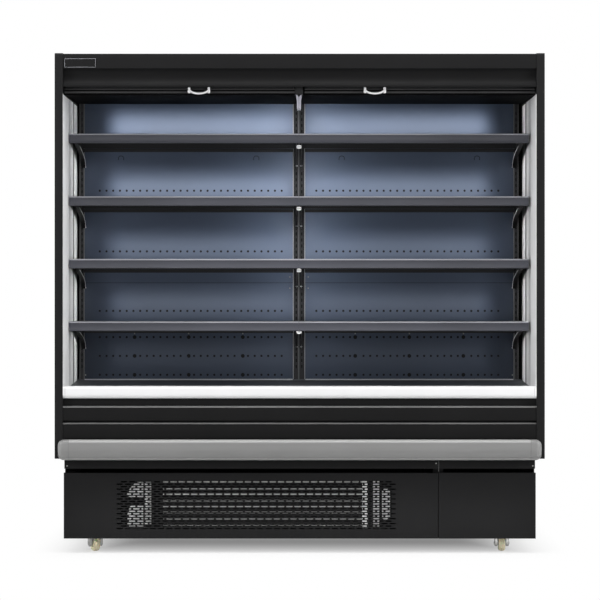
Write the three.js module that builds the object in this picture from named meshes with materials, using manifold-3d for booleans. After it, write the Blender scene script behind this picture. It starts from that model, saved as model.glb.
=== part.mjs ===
// Open multideck display fridge, in millimetres. X right, Y to the back, Z up,
// origin on the floor under the middle of the whole.
import * as THREE from 'three';
import Module from 'manifold-3d';
import { mergeVertices } from 'three/addons/utils/BufferGeometryUtils.js';

const wasm = await Module();
wasm.setup();

// Whole
const overallWidth = 1940;
const overallHeight = 1982;
const overallDepth = 790;
const clearance = 0.3;

// Bumper and end panels
const bumperProud = 40;
const bumperHeight = 80;
const bumperBottom = 372;
const bumperOverhang = 14;
const bumperEndRadius = 26;
const endPanelThickness = 32;
const endPanelBottom = 375;
const endPanelCornerRadius = 9;
const linerThickness = 2.7;
const linerFrontMargin = 4;
const linerGrooveStart = 454;
const linerGrooveWidth = 51;
const linerGrooveDepth = 1.5;

// Insulated body
const backFoam = 50;
const roofFoam = 40;
const tubFoam = 45;
const tubFloor = 50;
const airDuctDepth = 50;
const frontRecess = 20;
const roofFrontSetback = 60;

// Canopy
const canopyTopGap = 3;
const fasciaFaceHeight = 58;
const coveHeight = 68;
const coveDepth = 22;
const canopyDepth = 159;
const ceilingRise = 10;
const ceilingFrontSetback = 55;
const outletSlotLength = 72;
const outletSlotWidth = 11;
const outletSlotCount = 22;

// Sheet metal
const sheet = 2;
const lipRise = 10;
const lipReach = 9;

// Night blinds
const blindGap = 8;
const blindBarHeight = 7;
const blindBarDepth = 14;
const blindBarLift = 17;
const blindSetback = 32;
const rollerRadius = 25;
const rollerWrap = 5;
const rollerLift = 62;
const handleSpan = 86;
const handleDrop = 22;
const handleThickness = 8;
const handleOffsetLeft = -399;
const handleOffsetRight = 298;
const guideWidth = 11;
const guideHeight = 58;
const guideDepth = 26;

// Shelving
const shelvingShift = -3;
const uprightWidth = 21;
const centreUprightWidth = 52;
const uprightInset = 10;
const uprightBottom = 668;
const centreSlotOffset = 11.5;
const slotPitch = 50.8;
const slotHeight = 22;
const slotWidth = 5;
const leastTopBay = 170;
const levelCount = 4;
const lowestShelf = 878;
const shelfDepth = 400;
const shelfFrontHeight = 38;
const shelfSplit = 1;
const shelfEndMargin = 3;
const shelfRearSkirt = 36;
const shelfEndSkirt = 16;
const bracketThickness = 3;
const bracketRearHeight = 118;
const bracketFrontHeight = 16;
const hookDrop = 7;
const hookHeight = 12;
const clipWidth = 20;
const clipHeight = 18;
const clipSetback = 156;

// Rear panels
const seamHeight = 1076.5;
const fanHolePitch = 228;
const fanHoleRows = [847.6, 768.4, 688.7];
const fanHoleRadius = 7.5;

// Deck, return grille and nose
const deckRearHeight = 666;
const deckSlope = 0.04;
const deckLip = 4;
const deckSetback = 137;
const deckSkirt = 26;
const returnSlotCount = 26;
const returnSlotLength = 56;
const returnSlotWidth = 10;
const noseTop = 661.6;
const noseHeight = 47.6;
const noseWall = 3;
const noseRadius = 12;
const upperPanelTop = 574;
const upperPanelBottom = 526;
const lowerPanelTop = 509;
const lowerPanelBottom = 453;

// Base
const baseTop = 370;
const baseRailHeight = 34;
const baseInset = 38;
const trayHeight = 90;
const trayThickness = 6;
const baseSideThickness = 4;
const baseSideBottom = 66;
const basePanelTop = 318.5;
const basePanelBottom = 57.6;
const basePanelInset = 34;
const basePanelSetback = 20;
const basePanelFlange = 18;
const airOutletTop = 150;
const accessPanelWidth = 385.5;
const splitGap = 1.5;
const postWidth = 40;
const ventLeftMargin = 211;
const ventRightMargin = 164.5;
const ventTop = 287;
const ventBottom = 97;
const ventRows = 10;
const ventColumns = 18;
const ventSlotHeight = 9;
const ventSlotShare = 0.78;

// Casters
const casterInset = 162;
const casterFrontSetback = 90;
const casterRearSetback = 95;
const wheelRadius = 31.5;
const wheelWidth = 27;
const casterTrail = 24;
const forkSideThickness = 3;
const forkPlateRadius = 24;
const axleRadius = 4;
const kingpinRadius = 6;
const casterPadSize = 70;

// Refrigeration
const coilLeftMargin = 132;
const coilRightMargin = 94;
const coilBottom = 100;
const coilTop = 286;
const coilSetback = 16.7;
const coilDepth = 44;
const coilBendRows = 6;
const coilTubeRadius = 5;
const coilEndPlateLeft = 96;
const coilEndPlateRight = 78;
const coilEndPlateWaist = 26;
const fanOffset = 0.5;
const fanHeight = 193;
const fanRadius = 82;
const fanBlades = 5;
const fanHubHalfLength = 16;
const fanShroudDepth = 60;
const motorRadius = 34;
const motorLength = 46;
const compressorInset = 250;
const compressorRearSetback = 335;
const compressorRadius = 78;
const compressorHeight = 190;
const evaporatorEndMargin = 178;
const evaporatorFrontSetback = 215;
const evaporatorRearSetback = 75;
const evaporatorCoreRise = 12;
const evaporatorCoreHeight = 108;

// Derived planes
const yBack = overallDepth / 2;
const yBumper = -overallDepth / 2;
const yFront = yBumper + bumperProud;
const innerHalf = overallWidth / 2 - endPanelThickness;
const bodyHalf = innerHalf - clearance;
const yFoam = yBack - backFoam;
const yRear = yFoam - airDuctDepth;
const yTub = yFront + frontRecess;
const tubWallTop = noseTop - noseWall - clearance;
const tubFloorTop = endPanelBottom + tubFloor;
const shelfTopOffset = shelfFrontHeight - sheet;
const canopyTop = overallHeight - canopyTopGap;
const ceilingFrontHeight = canopyTop - canopyDepth;
const blindBarBottom = ceilingFrontHeight + blindBarLift;
const rollerHeight = ceilingFrontHeight + rollerLift;
const levelSteps = Math.floor(
  (ceilingFrontHeight - leastTopBay - lowestShelf) / (slotPitch * (levelCount - 1)));
const shelfRise = slotPitch * levelSteps;
const topShelf = lowestShelf + shelfRise * (levelCount - 1);
const ceilingFrontY = yFront + ceilingFrontSetback;
const deckFrontY = yTub + deckSetback;
const baseHalfWidth = overallWidth / 2 - baseInset;
const basePanelHalfWidth = overallWidth / 2 - basePanelInset;
const panelSplit = basePanelHalfWidth - accessPanelWidth;
const shelfHeights = Array.from({ length: levelCount }, (_, i) => topShelf - shelfRise * i);

const blackSteel = { color: 0x17181a, roughness: 0.45, metalness: 0.4 };
const interiorSteel = { color: 0x5f6c80, roughness: 0.4, metalness: 0.35 };
const linerWhite = { color: 0xc9c8c8, roughness: 0.5, metalness: 0.0 };
const noseWhite = { color: 0xf2f2f2, roughness: 0.35, metalness: 0.0 };
const bumperGrey = { color: 0x878786, roughness: 0.6, metalness: 0.0 };
const bareMetal = { color: 0xa9acae, roughness: 0.35, metalness: 0.9 };
const nylonCream = { color: 0xe0dac0, roughness: 0.5, metalness: 0.0 };
const clothBlack = { color: 0x202226, roughness: 0.9, metalness: 0.0 };

const fridge = new THREE.Group();

// Solids ------------------------------------------------------------------

function solidOf(geometry) {
  const bare = geometry.index ? geometry.toNonIndexed() : geometry;
  bare.deleteAttribute('normal');
  bare.deleteAttribute('uv');
  const merged = mergeVertices(bare, 1e-4);
  return new wasm.Manifold(new wasm.Mesh({
    numProp: 3,
    vertProperties: new Float32Array(merged.attributes.position.array),
    triVerts: new Uint32Array(merged.index.array),
  }));
}

function geometryOf(solid) {
  const mesh = solid.getMesh();
  const geometry = new THREE.BufferGeometry();
  geometry.setAttribute('position', new THREE.BufferAttribute(mesh.vertProperties, 3));
  geometry.setIndex(new THREE.BufferAttribute(mesh.triVerts, 1));
  geometry.computeVertexNormals();
  return geometry;
}

function addPiece(name, solid, look, parent = fridge) {
  const mesh = new THREE.Mesh(geometryOf(solid), new THREE.MeshStandardMaterial(look));
  mesh.name = name;
  parent.add(mesh);
  return mesh;
}

// A box between two corners given as ranges along X, Y and Z.
function block([x0, x1], [y0, y1], [z0, z1]) {
  const geometry = new THREE.BoxGeometry(x1 - x0, y1 - y0, z1 - z0);
  geometry.translate((x0 + x1) / 2, (y0 + y1) / 2, (z0 + z1) / 2);
  return solidOf(geometry);
}

function outline(points) {
  return new THREE.Shape(points.map(([u, v]) => new THREE.Vector2(u, v)));
}

function extrude(shape, length, basis, segments = 6) {
  const geometry = new THREE.ExtrudeGeometry(shape, {
    depth: length, bevelEnabled: false, curveSegments: segments,
  });
  geometry.applyMatrix4(new THREE.Matrix4().makeBasis(...basis));
  return solidOf(geometry);
}

const unitX = new THREE.Vector3(1, 0, 0);
const unitY = new THREE.Vector3(0, 1, 0);
const unitZ = new THREE.Vector3(0, 0, 1);

// An outline in (Y, Z) drawn along X, one in (X, Z) along Y, one in (X, Y) along Z.
function alongX(shape, x0, x1, segments) {
  return extrude(shape, x1 - x0, [unitY, unitZ, unitX], segments).translate(x0, 0, 0);
}

function alongY(shape, y0, y1, segments) {
  const basis = [unitX, unitZ, unitY.clone().negate()];
  return extrude(shape, y1 - y0, basis, segments).translate(0, y1, 0);
}

function alongZ(shape, z0, z1, segments) {
  return extrude(shape, z1 - z0, [unitX, unitY, unitZ], segments).translate(0, 0, z0);
}

// Outline of a sheet of one thickness folded along a run of points. The sheet
// lies to the left of the run, and its corners are mitred.
function foldedSheet(points, thickness) {
  const run = points.map(([u, v]) => new THREE.Vector2(u, v));
  const normals = run.slice(1).map((point, i) => {
    const along = point.clone().sub(run[i]).normalize();
    return new THREE.Vector2(-along.y, along.x);
  });
  const offset = run.map((point, i) => {
    const before = normals[Math.max(i - 1, 0)];
    const after = normals[Math.min(i, normals.length - 1)];
    const mitre = before.clone().add(after).normalize();
    return point.clone().addScaledVector(mitre, thickness / mitre.dot(after));
  });
  return new THREE.Shape([...run, ...offset.reverse()]);
}

function arcPoints(cu, cv, radius, from, to, steps) {
  return Array.from({ length: steps + 1 }, (_, i) => {
    const angle = from + ((to - from) * i) / steps;
    return [cu + radius * Math.cos(angle), cv + radius * Math.sin(angle)];
  });
}

function roundedRectangle(u0, u1, v0, v1, radius, corners = [true, true, true, true]) {
  const spots = [
    [u0, v0, Math.PI], [u1, v0, Math.PI * 1.5], [u1, v1, 0], [u0, v1, Math.PI / 2],
  ];
  const middle = [(u0 + u1) / 2, (v0 + v1) / 2];
  return outline(spots.flatMap(([u, v, start], i) => {
    if (!corners[i]) return [[u, v]];
    const cu = u + Math.sign(middle[0] - u) * radius;
    const cv = v + Math.sign(middle[1] - v) * radius;
    return arcPoints(cu, cv, radius, start, start + Math.PI / 2, 4);
  }));
}

function cylinder(radius, length, sides) {
  return solidOf(new THREE.CylinderGeometry(radius, radius, length, sides));
}

function cylinderZ(radius, z0, z1, sides = 16) {
  return cylinder(radius, z1 - z0, sides).rotate(90, 0, 0).translate(0, 0, (z0 + z1) / 2);
}

function cylinderX(radius, x0, x1, sides = 16) {
  return cylinder(radius, x1 - x0, sides).rotate(0, 0, 90).translate((x0 + x1) / 2, 0, 0);
}

function cylinderY(radius, y0, y1, sides = 16) {
  return cylinder(radius, y1 - y0, sides).translate(0, (y0 + y1) / 2, 0);
}

function union(...solids) {
  return solids.reduce((sum, next) => sum.add(next));
}

// Cabinet -------------------------------------------------------------------

const yFace = yFront + sheet;
const uprightProud = 4;
const yUpright = yRear - uprightProud;
const shelfRearGap = 2;
const shelfFrontY = yUpright - shelfRearGap - shelfDepth;
const noseRear = yTub + tubFoam + clearance + noseWall;
const roofFrontY = yFront + roofFrontSetback;
const linerNoseLap = 12;
const linerBottom = noseTop - noseHeight + linerNoseLap;
const linerRange = {
  y: [yFront + linerFrontMargin, yRear],
  z: [linerBottom, ceilingFrontHeight],
};

function deckHeight(y) {
  return deckRearHeight - deckSlope * (yUpright - y);
}

function mirrored(solid, side) {
  return side < 0 ? solid.mirror([1, 0, 0]) : solid;
}

function endPanel(side) {
  const shape = roundedRectangle(yFront, yBack, endPanelBottom, overallHeight, endPanelCornerRadius);
  const panel = alongX(shape, innerHalf, overallWidth / 2);
  const pocketX = [innerHalf - 1, innerHalf + linerThickness + clearance];
  const grow = ([low, high]) => [low - clearance, high + clearance];
  return mirrored(panel.subtract(block(pocketX, grow(linerRange.y), grow(linerRange.z))), side);
}

// The liner lies flush in the end panel, with a wide groove from top to bottom.
function sideLiner(side) {
  const plate = block([innerHalf, innerHalf + linerThickness], linerRange.y, linerRange.z);
  const grooveY = [yFront + linerGrooveStart, yFront + linerGrooveStart + linerGrooveWidth];
  const groove = block([innerHalf - 1, innerHalf + linerGrooveDepth], grooveY,
    [linerBottom - 1, ceilingFrontHeight + 1]);
  return mirrored(plate.subtract(groove), side);
}

// Back wall, roof and tub in one foamed section.
function cabinetBody() {
  const roofUnder = canopyTop - roofFoam;
  const tubInner = yTub + tubFoam;
  return alongX(outline([
    [yTub, endPanelBottom], [yBack, endPanelBottom], [yBack, canopyTop],
    [roofFrontY, canopyTop], [roofFrontY, roofUnder], [yFoam, roofUnder],
    [yFoam, tubFloorTop], [tubInner, tubFloorTop], [tubInner, tubWallTop],
    [yTub, tubWallTop],
  ]), -bodyHalf, bodyHalf);
}

// Flat face above a concave cove, in one folded sheet.
function canopyFascia() {
  const faceBottom = canopyTop - fasciaFaceHeight;
  const half = coveHeight / 2;
  const radius = (half * half + coveDepth * coveDepth) / (2 * coveDepth);
  const reach = Math.asin(half / radius);
  const coveCentre = [yFace + coveDepth - radius, faceBottom - half];
  const coveBottom = faceBottom - coveHeight;
  const lip = 4;
  return alongX(foldedSheet([
    [roofFrontY - clearance, canopyTop], [yFace, canopyTop],
    ...arcPoints(...coveCentre, radius, reach, -reach, 10),
    [yFace, coveBottom - lip], [yFace + coveDepth, coveBottom - lip],
  ], sheet), -bodyHalf, bodyHalf);
}

function canopyCeiling() {
  const upstand = 22;
  const plate = alongX(foldedSheet([
    [ceilingFrontY, ceilingFrontHeight + upstand], [ceilingFrontY, ceilingFrontHeight],
    [yUpright - clearance, ceilingFrontHeight + ceilingRise],
  ], sheet), -bodyHalf, bodyHalf);
  const pitch = (2 * bodyHalf) / outletSlotCount;
  const slotY = [ceilingFrontY + 12, ceilingFrontY + 12 + outletSlotWidth];
  const slots = Array.from({ length: outletSlotCount }, (_, i) => {
    const x = -bodyHalf + pitch * (i + 0.5);
    return block([x - outletSlotLength / 2, x + outletSlotLength / 2], slotY,
      [ceilingFrontHeight - 5, ceilingFrontHeight + 8]);
  });
  return slots.reduce((rest, slot) => rest.subtract(slot), plate);
}

addPiece('end_panel_left', endPanel(-1), blackSteel);
addPiece('end_panel_right', endPanel(1), blackSteel);
addPiece('side_liner_left', sideLiner(-1), linerWhite);
addPiece('side_liner_right', sideLiner(1), linerWhite);
addPiece('cabinet_body', cabinetBody(), blackSteel);
addPiece('canopy_fascia', canopyFascia(), blackSteel);
addPiece('canopy_ceiling', canopyCeiling(), blackSteel);

// Front below the opening ----------------------------------------------------

// Hollow rail that caps the tub's front wall, open underneath.
function noseRail() {
  const noseBottom = noseTop - noseHeight;
  const right = Math.PI / 2;
  return alongX(foldedSheet([
    [noseRear, noseTop - noseHeight * 0.8], [noseRear, noseTop],
    ...arcPoints(yFront + noseRadius, noseTop - noseRadius, noseRadius, right, 2 * right, 4),
    ...arcPoints(yFront + noseRadius, noseBottom + noseRadius, noseRadius, 2 * right, 3 * right, 4),
    [yTub - clearance, noseBottom],
  ], noseWall), -bodyHalf, bodyHalf);
}

// A black front panel folded back to the tub, with a lip that faces up.
function frontPanel(top, bottom) {
  const seat = yTub - clearance;
  return alongX(foldedSheet([
    [seat, top + lipRise], [yFace + lipReach, top + lipRise], [yFace, top],
    [yFace, bottom], [seat, bottom],
  ], sheet), -bodyHalf, bodyHalf);
}

function bumper() {
  const top = bumperBottom + bumperHeight;
  const back = yFront - clearance;
  const topRadius = 12;
  const section = alongX(outline([
    [back, bumperBottom], [yBumper + 9, bumperBottom], [yBumper + 4, bumperBottom + 5],
    [yBumper + 3, bumperBottom + 24], [yBumper, bumperBottom + 32],
    ...arcPoints(yBumper + topRadius, top - topRadius, topRadius, Math.PI, Math.PI / 2, 4),
    [back, top],
  ]), -overallWidth / 2 + bumperOverhang, overallWidth / 2 - bumperOverhang);
  const half = overallWidth / 2 - bumperOverhang;
  const plan = roundedRectangle(-half, half, yBumper, yFront, bumperEndRadius,
    [true, true, false, false]);
  return section.intersect(alongZ(plan, bumperBottom - 1, top + 1));
}

addPiece('nose_rail', noseRail(), noseWhite);
addPiece('upper_front_panel', frontPanel(upperPanelTop, upperPanelBottom), blackSteel);
addPiece('lower_front_panel', frontPanel(lowerPanelTop, lowerPanelBottom), blackSteel);
addPiece('bumper', bumper(), bumperGrey);

// Interior ---------------------------------------------------------------------

const shelving = new THREE.Group();
shelving.position.x = shelvingShift;
fridge.add(shelving);

const shelvesHalf = innerHalf - shelfEndMargin - Math.abs(shelvingShift);
const endUprightX = shelvesHalf + Math.abs(shelvingShift) - uprightInset - uprightWidth / 2;
const panelTopGap = 40;
const panelStart = 175;
const panelTop = canopyTop - roofFoam - panelTopGap;
const panelBottom = tubFloorTop + panelStart;
const hookBelowShelf = 10;
const panelGap = 0.5;

const slotFloor = lowestShelf - hookBelowShelf
  - slotPitch * Math.floor((lowestShelf - hookBelowShelf - uprightBottom) / slotPitch);
const slotCount = Math.floor((ceilingFrontHeight - slotHeight - slotFloor) / slotPitch) + 1;

// A channel in (X, Y) with its web to the front and its flanges on the foam wall.
function channel(x0, x1, front, z0, z1) {
  const seat = yFoam - clearance;
  return alongZ(foldedSheet([[x0, seat], [x0, front], [x1, front], [x1, seat]], sheet), z0, z1);
}

function upright(width, slotColumns) {
  const post = channel(-width / 2, width / 2, yUpright, panelBottom, panelTop);
  const cuts = slotColumns.flatMap((x) => Array.from({ length: slotCount }, (_, i) => {
    const z = slotFloor + i * slotPitch;
    return block([x - slotWidth / 2, x + slotWidth / 2],
      [yUpright - 1, yUpright + sheet + 1], [z, z + slotHeight]);
  }));
  return cuts.reduce((rest, cut) => rest.subtract(cut), post);
}

function rearPanel(side) {
  const inner = centreUprightWidth / 2 + panelGap;
  const outer = endUprightX - uprightWidth / 2 - panelGap;
  const plate = channel(inner, outer, yRear, panelBottom, panelTop);
  const seam = block([inner - 1, outer + 1], [yRear - 1, yRear + sheet / 2],
    [seamHeight - 1, seamHeight + 1]);
  const middle = (inner + outer) / 2;
  const holes = fanHoleRows.flatMap((z) => [-1, 0, 1].map((i) => (
    cylinderY(fanHoleRadius, yRear - 1, yRear + sheet + 1, 8)
      .translate(middle + i * fanHolePitch, 0, z)
  )));
  return mirrored([seam, ...holes].reduce((rest, cut) => rest.subtract(cut), plate), side);
}

function shelf() {
  const rear = shelfFrontY + shelfDepth;
  const lip = 12;
  const x0 = shelfSplit / 2;
  const tray = alongX(foldedSheet([
    [rear, shelfFrontHeight - shelfRearSkirt], [rear, shelfFrontHeight],
    [shelfFrontY, shelfFrontHeight], [shelfFrontY, 0], [shelfFrontY + lip, 0],
  ], sheet), x0, shelvesHalf);
  const end = (x) => block([x, x + sheet], [shelfFrontY, rear],
    [shelfFrontHeight - shelfEndSkirt, shelfFrontHeight]);
  return union(tray, end(x0), end(shelvesHalf - sheet));
}

// Side plate of a bracket, its origin at the shelf's lower edge: a tapered arm
// with two hooks that drop behind the upright's web.
function bracketPlate() {
  const rear = yUpright - clearance;
  const front = shelfFrontY + sheet + clearance;
  const top = shelfTopOffset - clearance;
  const behindWeb = yUpright + sheet + clearance;
  const skirtFront = shelfFrontY + shelfDepth - sheet - clearance;
  const underSkirt = shelfFrontHeight - shelfRearSkirt - clearance;
  const hook = (slotBottom) => [
    [rear, slotBottom + clearance], [behindWeb, slotBottom + clearance],
    [behindWeb, slotBottom - hookDrop],
    [behindWeb + bracketThickness, slotBottom - hookDrop],
    [behindWeb + bracketThickness, slotBottom + hookHeight],
    [rear, slotBottom + hookHeight],
  ];
  return alongX(outline([
    [front, top - bracketFrontHeight], [rear, top - bracketRearHeight],
    ...hook(-hookBelowShelf - slotPitch), ...hook(-hookBelowShelf),
    [rear, underSkirt], [skirtFront, underSkirt], [skirtFront, top], [front, top],
  ]), -bracketThickness / 2, bracketThickness / 2);
}

// The arm carries the shelf on a narrow flange along its top.
function bracket(side) {
  const top = shelfTopOffset - clearance;
  const flange = block([0, 11], [shelfFrontY + 30, yUpright - 30], [top - sheet, top]);
  return mirrored(union(bracketPlate(), flange), -side);
}

function bracketPair() {
  const arm = bracketPlate();
  const clip = new THREE.Shape();
  clip.absellipse(0, 0, clipWidth / 2 + bracketThickness / 2, clipHeight / 2, 0, Math.PI * 2);
  const clipY = shelfFrontY + clipSetback;
  const joiner = alongY(clip, clipY, clipY + 8, 4).translate(0, 0, -clipHeight / 2 + 3);
  return union(arm.translate(-centreSlotOffset, 0, 0), arm.translate(centreSlotOffset, 0, 0), joiner);
}

function place(mesh, x, z) {
  mesh.position.set(x, 0, z);
}

place(addPiece('upright_left', upright(uprightWidth, [0]), blackSteel, shelving), -endUprightX, 0);
place(addPiece('upright_centre', upright(centreUprightWidth, [-centreSlotOffset, centreSlotOffset]),
  blackSteel, shelving), 0, 0);
place(addPiece('upright_right', upright(uprightWidth, [0]), blackSteel, shelving), endUprightX, 0);
addPiece('rear_panel_left', rearPanel(-1), interiorSteel, shelving);
addPiece('rear_panel_right', rearPanel(1), interiorSteel, shelving);

shelfHeights.forEach((height, i) => {
  const level = i + 1;
  place(addPiece(`shelf_left_${level}`, mirrored(shelf(), -1), blackSteel, shelving), 0, height);
  place(addPiece(`shelf_right_${level}`, shelf(), blackSteel, shelving), 0, height);
  place(addPiece(`bracket_left_${level}`, bracket(-1), blackSteel, shelving), -endUprightX, height);
  place(addPiece(`bracket_right_${level}`, bracket(1), blackSteel, shelving), endUprightX, height);
  place(addPiece(`bracket_pair_${level}`, bracketPair(), blackSteel, shelving), 0, height);
});

function deckPan() {
  const rear = yUpright - clearance;
  const front = deckFrontY;
  return alongX(foldedSheet([
    [rear - sheet, deckHeight(rear) + deckLip], [rear - sheet, deckHeight(rear)],
    [front, deckHeight(front)], [front, deckHeight(front) - deckSkirt],
  ], sheet), -bodyHalf, bodyHalf);
}

function returnGrille() {
  const rear = deckFrontY - clearance;
  const front = noseRear + clearance;
  const rearTop = deckHeight(deckFrontY) - sheet;
  const frontTop = noseTop - 14;
  const plate = alongX(foldedSheet([
    [rear, rearTop - deckSkirt], [rear, rearTop], [front, frontTop], [front, frontTop - deckSkirt],
  ], sheet), -bodyHalf, bodyHalf);
  const pitch = (2 * bodyHalf) / returnSlotCount;
  const middle = (rear + front) / 2;
  const slots = Array.from({ length: returnSlotCount }, (_, i) => {
    const x = -bodyHalf + pitch * (i + 0.5);
    return block([x - returnSlotLength / 2, x + returnSlotLength / 2],
      [middle - returnSlotWidth, middle + returnSlotWidth], [frontTop - 20, frontTop + 5]);
  });
  return slots.reduce((rest, slot) => rest.subtract(slot), plate);
}

addPiece('deck_pan', deckPan(), blackSteel);
addPiece('return_grille', returnGrille(), blackSteel);

// Night blinds -------------------------------------------------------------------

const yBlind = yFront + blindSetback;
const clothThickness = 2;
const rollerY = yBlind + clothThickness / 2 + clearance + rollerRadius + rollerWrap;
const guideHalf = centreUprightWidth / 2 - 10;
const blindInner = guideHalf + blindGap / 2;
const blindOuter = innerHalf - 4;
const guideFrontY = ceilingFrontY - clearance - guideDepth;

// Two tapered white arms hang side by side at the middle of the canopy, and
// the plate above them carries the inner ends of both rollers.
function blindGuide() {
  const top = ceilingFrontHeight + 20;
  const bottom = ceilingFrontHeight - guideHeight;
  const arms = alongY(outline([
    [-guideWidth * 0.8, bottom + 10], [-guideWidth * 0.5, bottom], [0, bottom + 12],
    [guideWidth * 0.5, bottom], [guideWidth * 0.8, bottom + 10],
    [guideWidth, ceilingFrontHeight - 14], [guideHalf, ceilingFrontHeight], [guideHalf, top],
    [-guideHalf, top], [-guideHalf, ceilingFrontHeight], [-guideWidth, ceilingFrontHeight - 14],
  ]), guideFrontY, ceilingFrontY - clearance);
  const plateTop = rollerHeight + rollerRadius;
  const width = [-guideHalf, guideHalf];
  const plate = block(width, [guideFrontY, rollerY + rollerRadius], [top + 4, plateTop]);
  const neck = block(width, [guideFrontY, ceilingFrontY - clearance], [top - 1, top + 5]);
  return union(arms, plate, neck);
}

// The bar at the blind's lower edge with its D-shaped pull, its origin at the
// bar's lower edge.
function blindBar(side, handleX) {
  const bar = block([blindInner, blindOuter],
    [yBlind - blindBarDepth / 2, yBlind + blindBarDepth / 2], [0, blindBarHeight]);
  const half = handleSpan / 2;
  const front = yBlind - blindBarDepth / 2 - handleThickness;
  const outer = new THREE.Shape();
  const inner = half - 12;
  outer.moveTo(-half, blindBarHeight + 4);
  outer.lineTo(-half, -2);
  outer.quadraticCurveTo(-half * 0.9, -handleDrop, -half * 0.4, -handleDrop);
  outer.lineTo(half * 0.4, -handleDrop);
  outer.quadraticCurveTo(half * 0.9, -handleDrop, half, -2);
  outer.lineTo(half, blindBarHeight + 4);
  outer.lineTo(inner, blindBarHeight + 4);
  outer.lineTo(inner, -4);
  outer.quadraticCurveTo(inner * 0.8, handleThickness - handleDrop, inner * 0.35,
    handleThickness - handleDrop);
  outer.lineTo(-inner * 0.35, handleThickness - handleDrop);
  outer.quadraticCurveTo(-inner * 0.8, handleThickness - handleDrop, -inner, -4);
  outer.lineTo(-inner, blindBarHeight + 4);
  const pull = alongY(outer, front, front + handleThickness + 1, 4);
  return union(mirrored(bar, side), pull.translate(handleX, 0, 0));
}

function roller(side) {
  const length = blindOuter - blindInner;
  const middle = (blindOuter + blindInner) / 2;
  const tube = cylinderX(rollerRadius + rollerWrap, -length / 2, length / 2, 18);
  const guideFace = guideHalf + side * shelvingShift + clearance;
  const pins = cylinderX(6, guideFace - middle, innerHalf - clearance - middle, 8);
  return union(tube, pins);
}

function blindCurtain(side) {
  return mirrored(block([blindInner + 6, blindOuter - 6],
    [yBlind - clothThickness / 2, yBlind + clothThickness / 2],
    [blindBarBottom + blindBarHeight + clearance, rollerHeight]), side);
}

addPiece('blind_guide', blindGuide(), noseWhite, shelving);
[[-1, 'left', handleOffsetLeft], [1, 'right', handleOffsetRight]].forEach(([side, hand, handleX]) => {
  const bar = addPiece(`blind_bar_${hand}`, blindBar(side, handleX), blackSteel);
  bar.position.z = blindBarBottom;
  const tube = addPiece(`blind_roller_${hand}`, roller(side), clothBlack);
  tube.position.set((side * (blindInner + blindOuter)) / 2, rollerY, rollerHeight);
  tube.rotation.z = side < 0 ? Math.PI : 0;
  addPiece(`blind_curtain_${hand}`, blindCurtain(side), clothBlack);
});

// Base ---------------------------------------------------------------------------

const basePanelY = yFront + basePanelSetback;
const baseSeatY = basePanelY + basePanelFlange + clearance;
const trayTop = trayHeight + trayThickness;
const bodySeat = endPanelBottom - clearance;
const baseRearY = yBack - 12;
const casterPadDepth = 6;
const ventLeft = ventLeftMargin - basePanelHalfWidth;
const ventRight = panelSplit - ventRightMargin;
const casterX = overallWidth / 2 - casterInset;
const casterFrontY = yFront + casterFrontSetback;
const casterRearY = yBack - casterRearSetback;
const casterSpots = [
  ['front_left', -casterX, casterFrontY, 25], ['front_right', casterX, casterFrontY, 0],
  ['rear_left', -casterX, casterRearY, 0], ['rear_right', casterX, casterRearY, 0],
];

function baseFrame() {
  const half = baseHalfWidth;
  const rail = (y, z) => block([-half, half], y, z);
  const post = (x, y) => block([x - postWidth / 2, x + postWidth / 2], y, [trayHeight, bodySeat]);
  const side = (sign) => mirrored(block([half - baseSideThickness, half],
    [baseSeatY, baseRearY], [baseSideBottom, bodySeat]), sign);
  const pads = casterSpots.map(([, x, y]) => block(
    [x - casterPadSize / 2, x + casterPadSize / 2],
    [y - casterPadSize / 2, y + casterPadSize / 2],
    [trayHeight - casterPadDepth, trayHeight + 1]));
  const bores = casterSpots.map(([, x, y]) => (
    cylinderZ(kingpinRadius + clearance, trayHeight - 20, trayTop + 20, 12).translate(x, y, 0)));
  const frame = union(
    block([-half, half], [baseSeatY, baseRearY], [trayHeight, trayTop]),
    side(-1), side(1),
    rail([yFront + 6, baseSeatY + postWidth], [baseTop - baseRailHeight, baseTop]),
    rail([baseSeatY, baseSeatY + postWidth], [baseTop - baseRailHeight, bodySeat]),
    rail([baseRearY - postWidth, baseRearY], [baseTop - baseRailHeight, bodySeat]),
    rail([baseRearY - sheet, baseRearY], [airOutletTop, baseTop]),
    post(panelSplit, [baseSeatY, baseSeatY + postWidth]),
    post(panelSplit, [baseRearY - postWidth, baseRearY]),
    ...pads,
  );
  return bores.reduce((rest, bore) => rest.subtract(bore), frame);
}

// A panel folded back along all four edges.
function basePanel(x0, x1) {
  const rear = basePanelY + basePanelFlange;
  const shell = block([x0, x1], [basePanelY, rear], [basePanelBottom, basePanelTop]);
  const hollow = block([x0 + sheet, x1 - sheet], [basePanelY + sheet, rear + 1],
    [basePanelBottom + sheet, basePanelTop - sheet]);
  return shell.subtract(hollow);
}

// Rows of slots in brick pattern: every other row is set over by half a pitch.
function grillePanel() {
  const panel = basePanel(-basePanelHalfWidth, panelSplit - splitGap / 2);
  const pitchX = (ventRight - ventLeft) / ventColumns;
  const pitchZ = (ventTop - ventBottom) / ventRows;
  const slotLength = pitchX * ventSlotShare;
  const slots = Array.from({ length: ventRows }, (_, row) => {
    const z = ventBottom + pitchZ * (row + 0.5);
    const odd = row % 2;
    return Array.from({ length: ventColumns - odd }, (_, column) => {
      const x = ventLeft + pitchX * (column + 0.5 + odd / 2);
      return block([x - slotLength / 2, x + slotLength / 2], [basePanelY - 1, basePanelY + sheet + 1],
        [z - ventSlotHeight / 2, z + ventSlotHeight / 2]);
    });
  }).flat();
  return slots.reduce((rest, slot) => rest.subtract(slot), panel);
}

addPiece('base_frame', baseFrame(), blackSteel);
addPiece('grille_panel', grillePanel(), blackSteel);
addPiece('access_panel', basePanel(panelSplit + splitGap / 2, basePanelHalfWidth), blackSteel);

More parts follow.
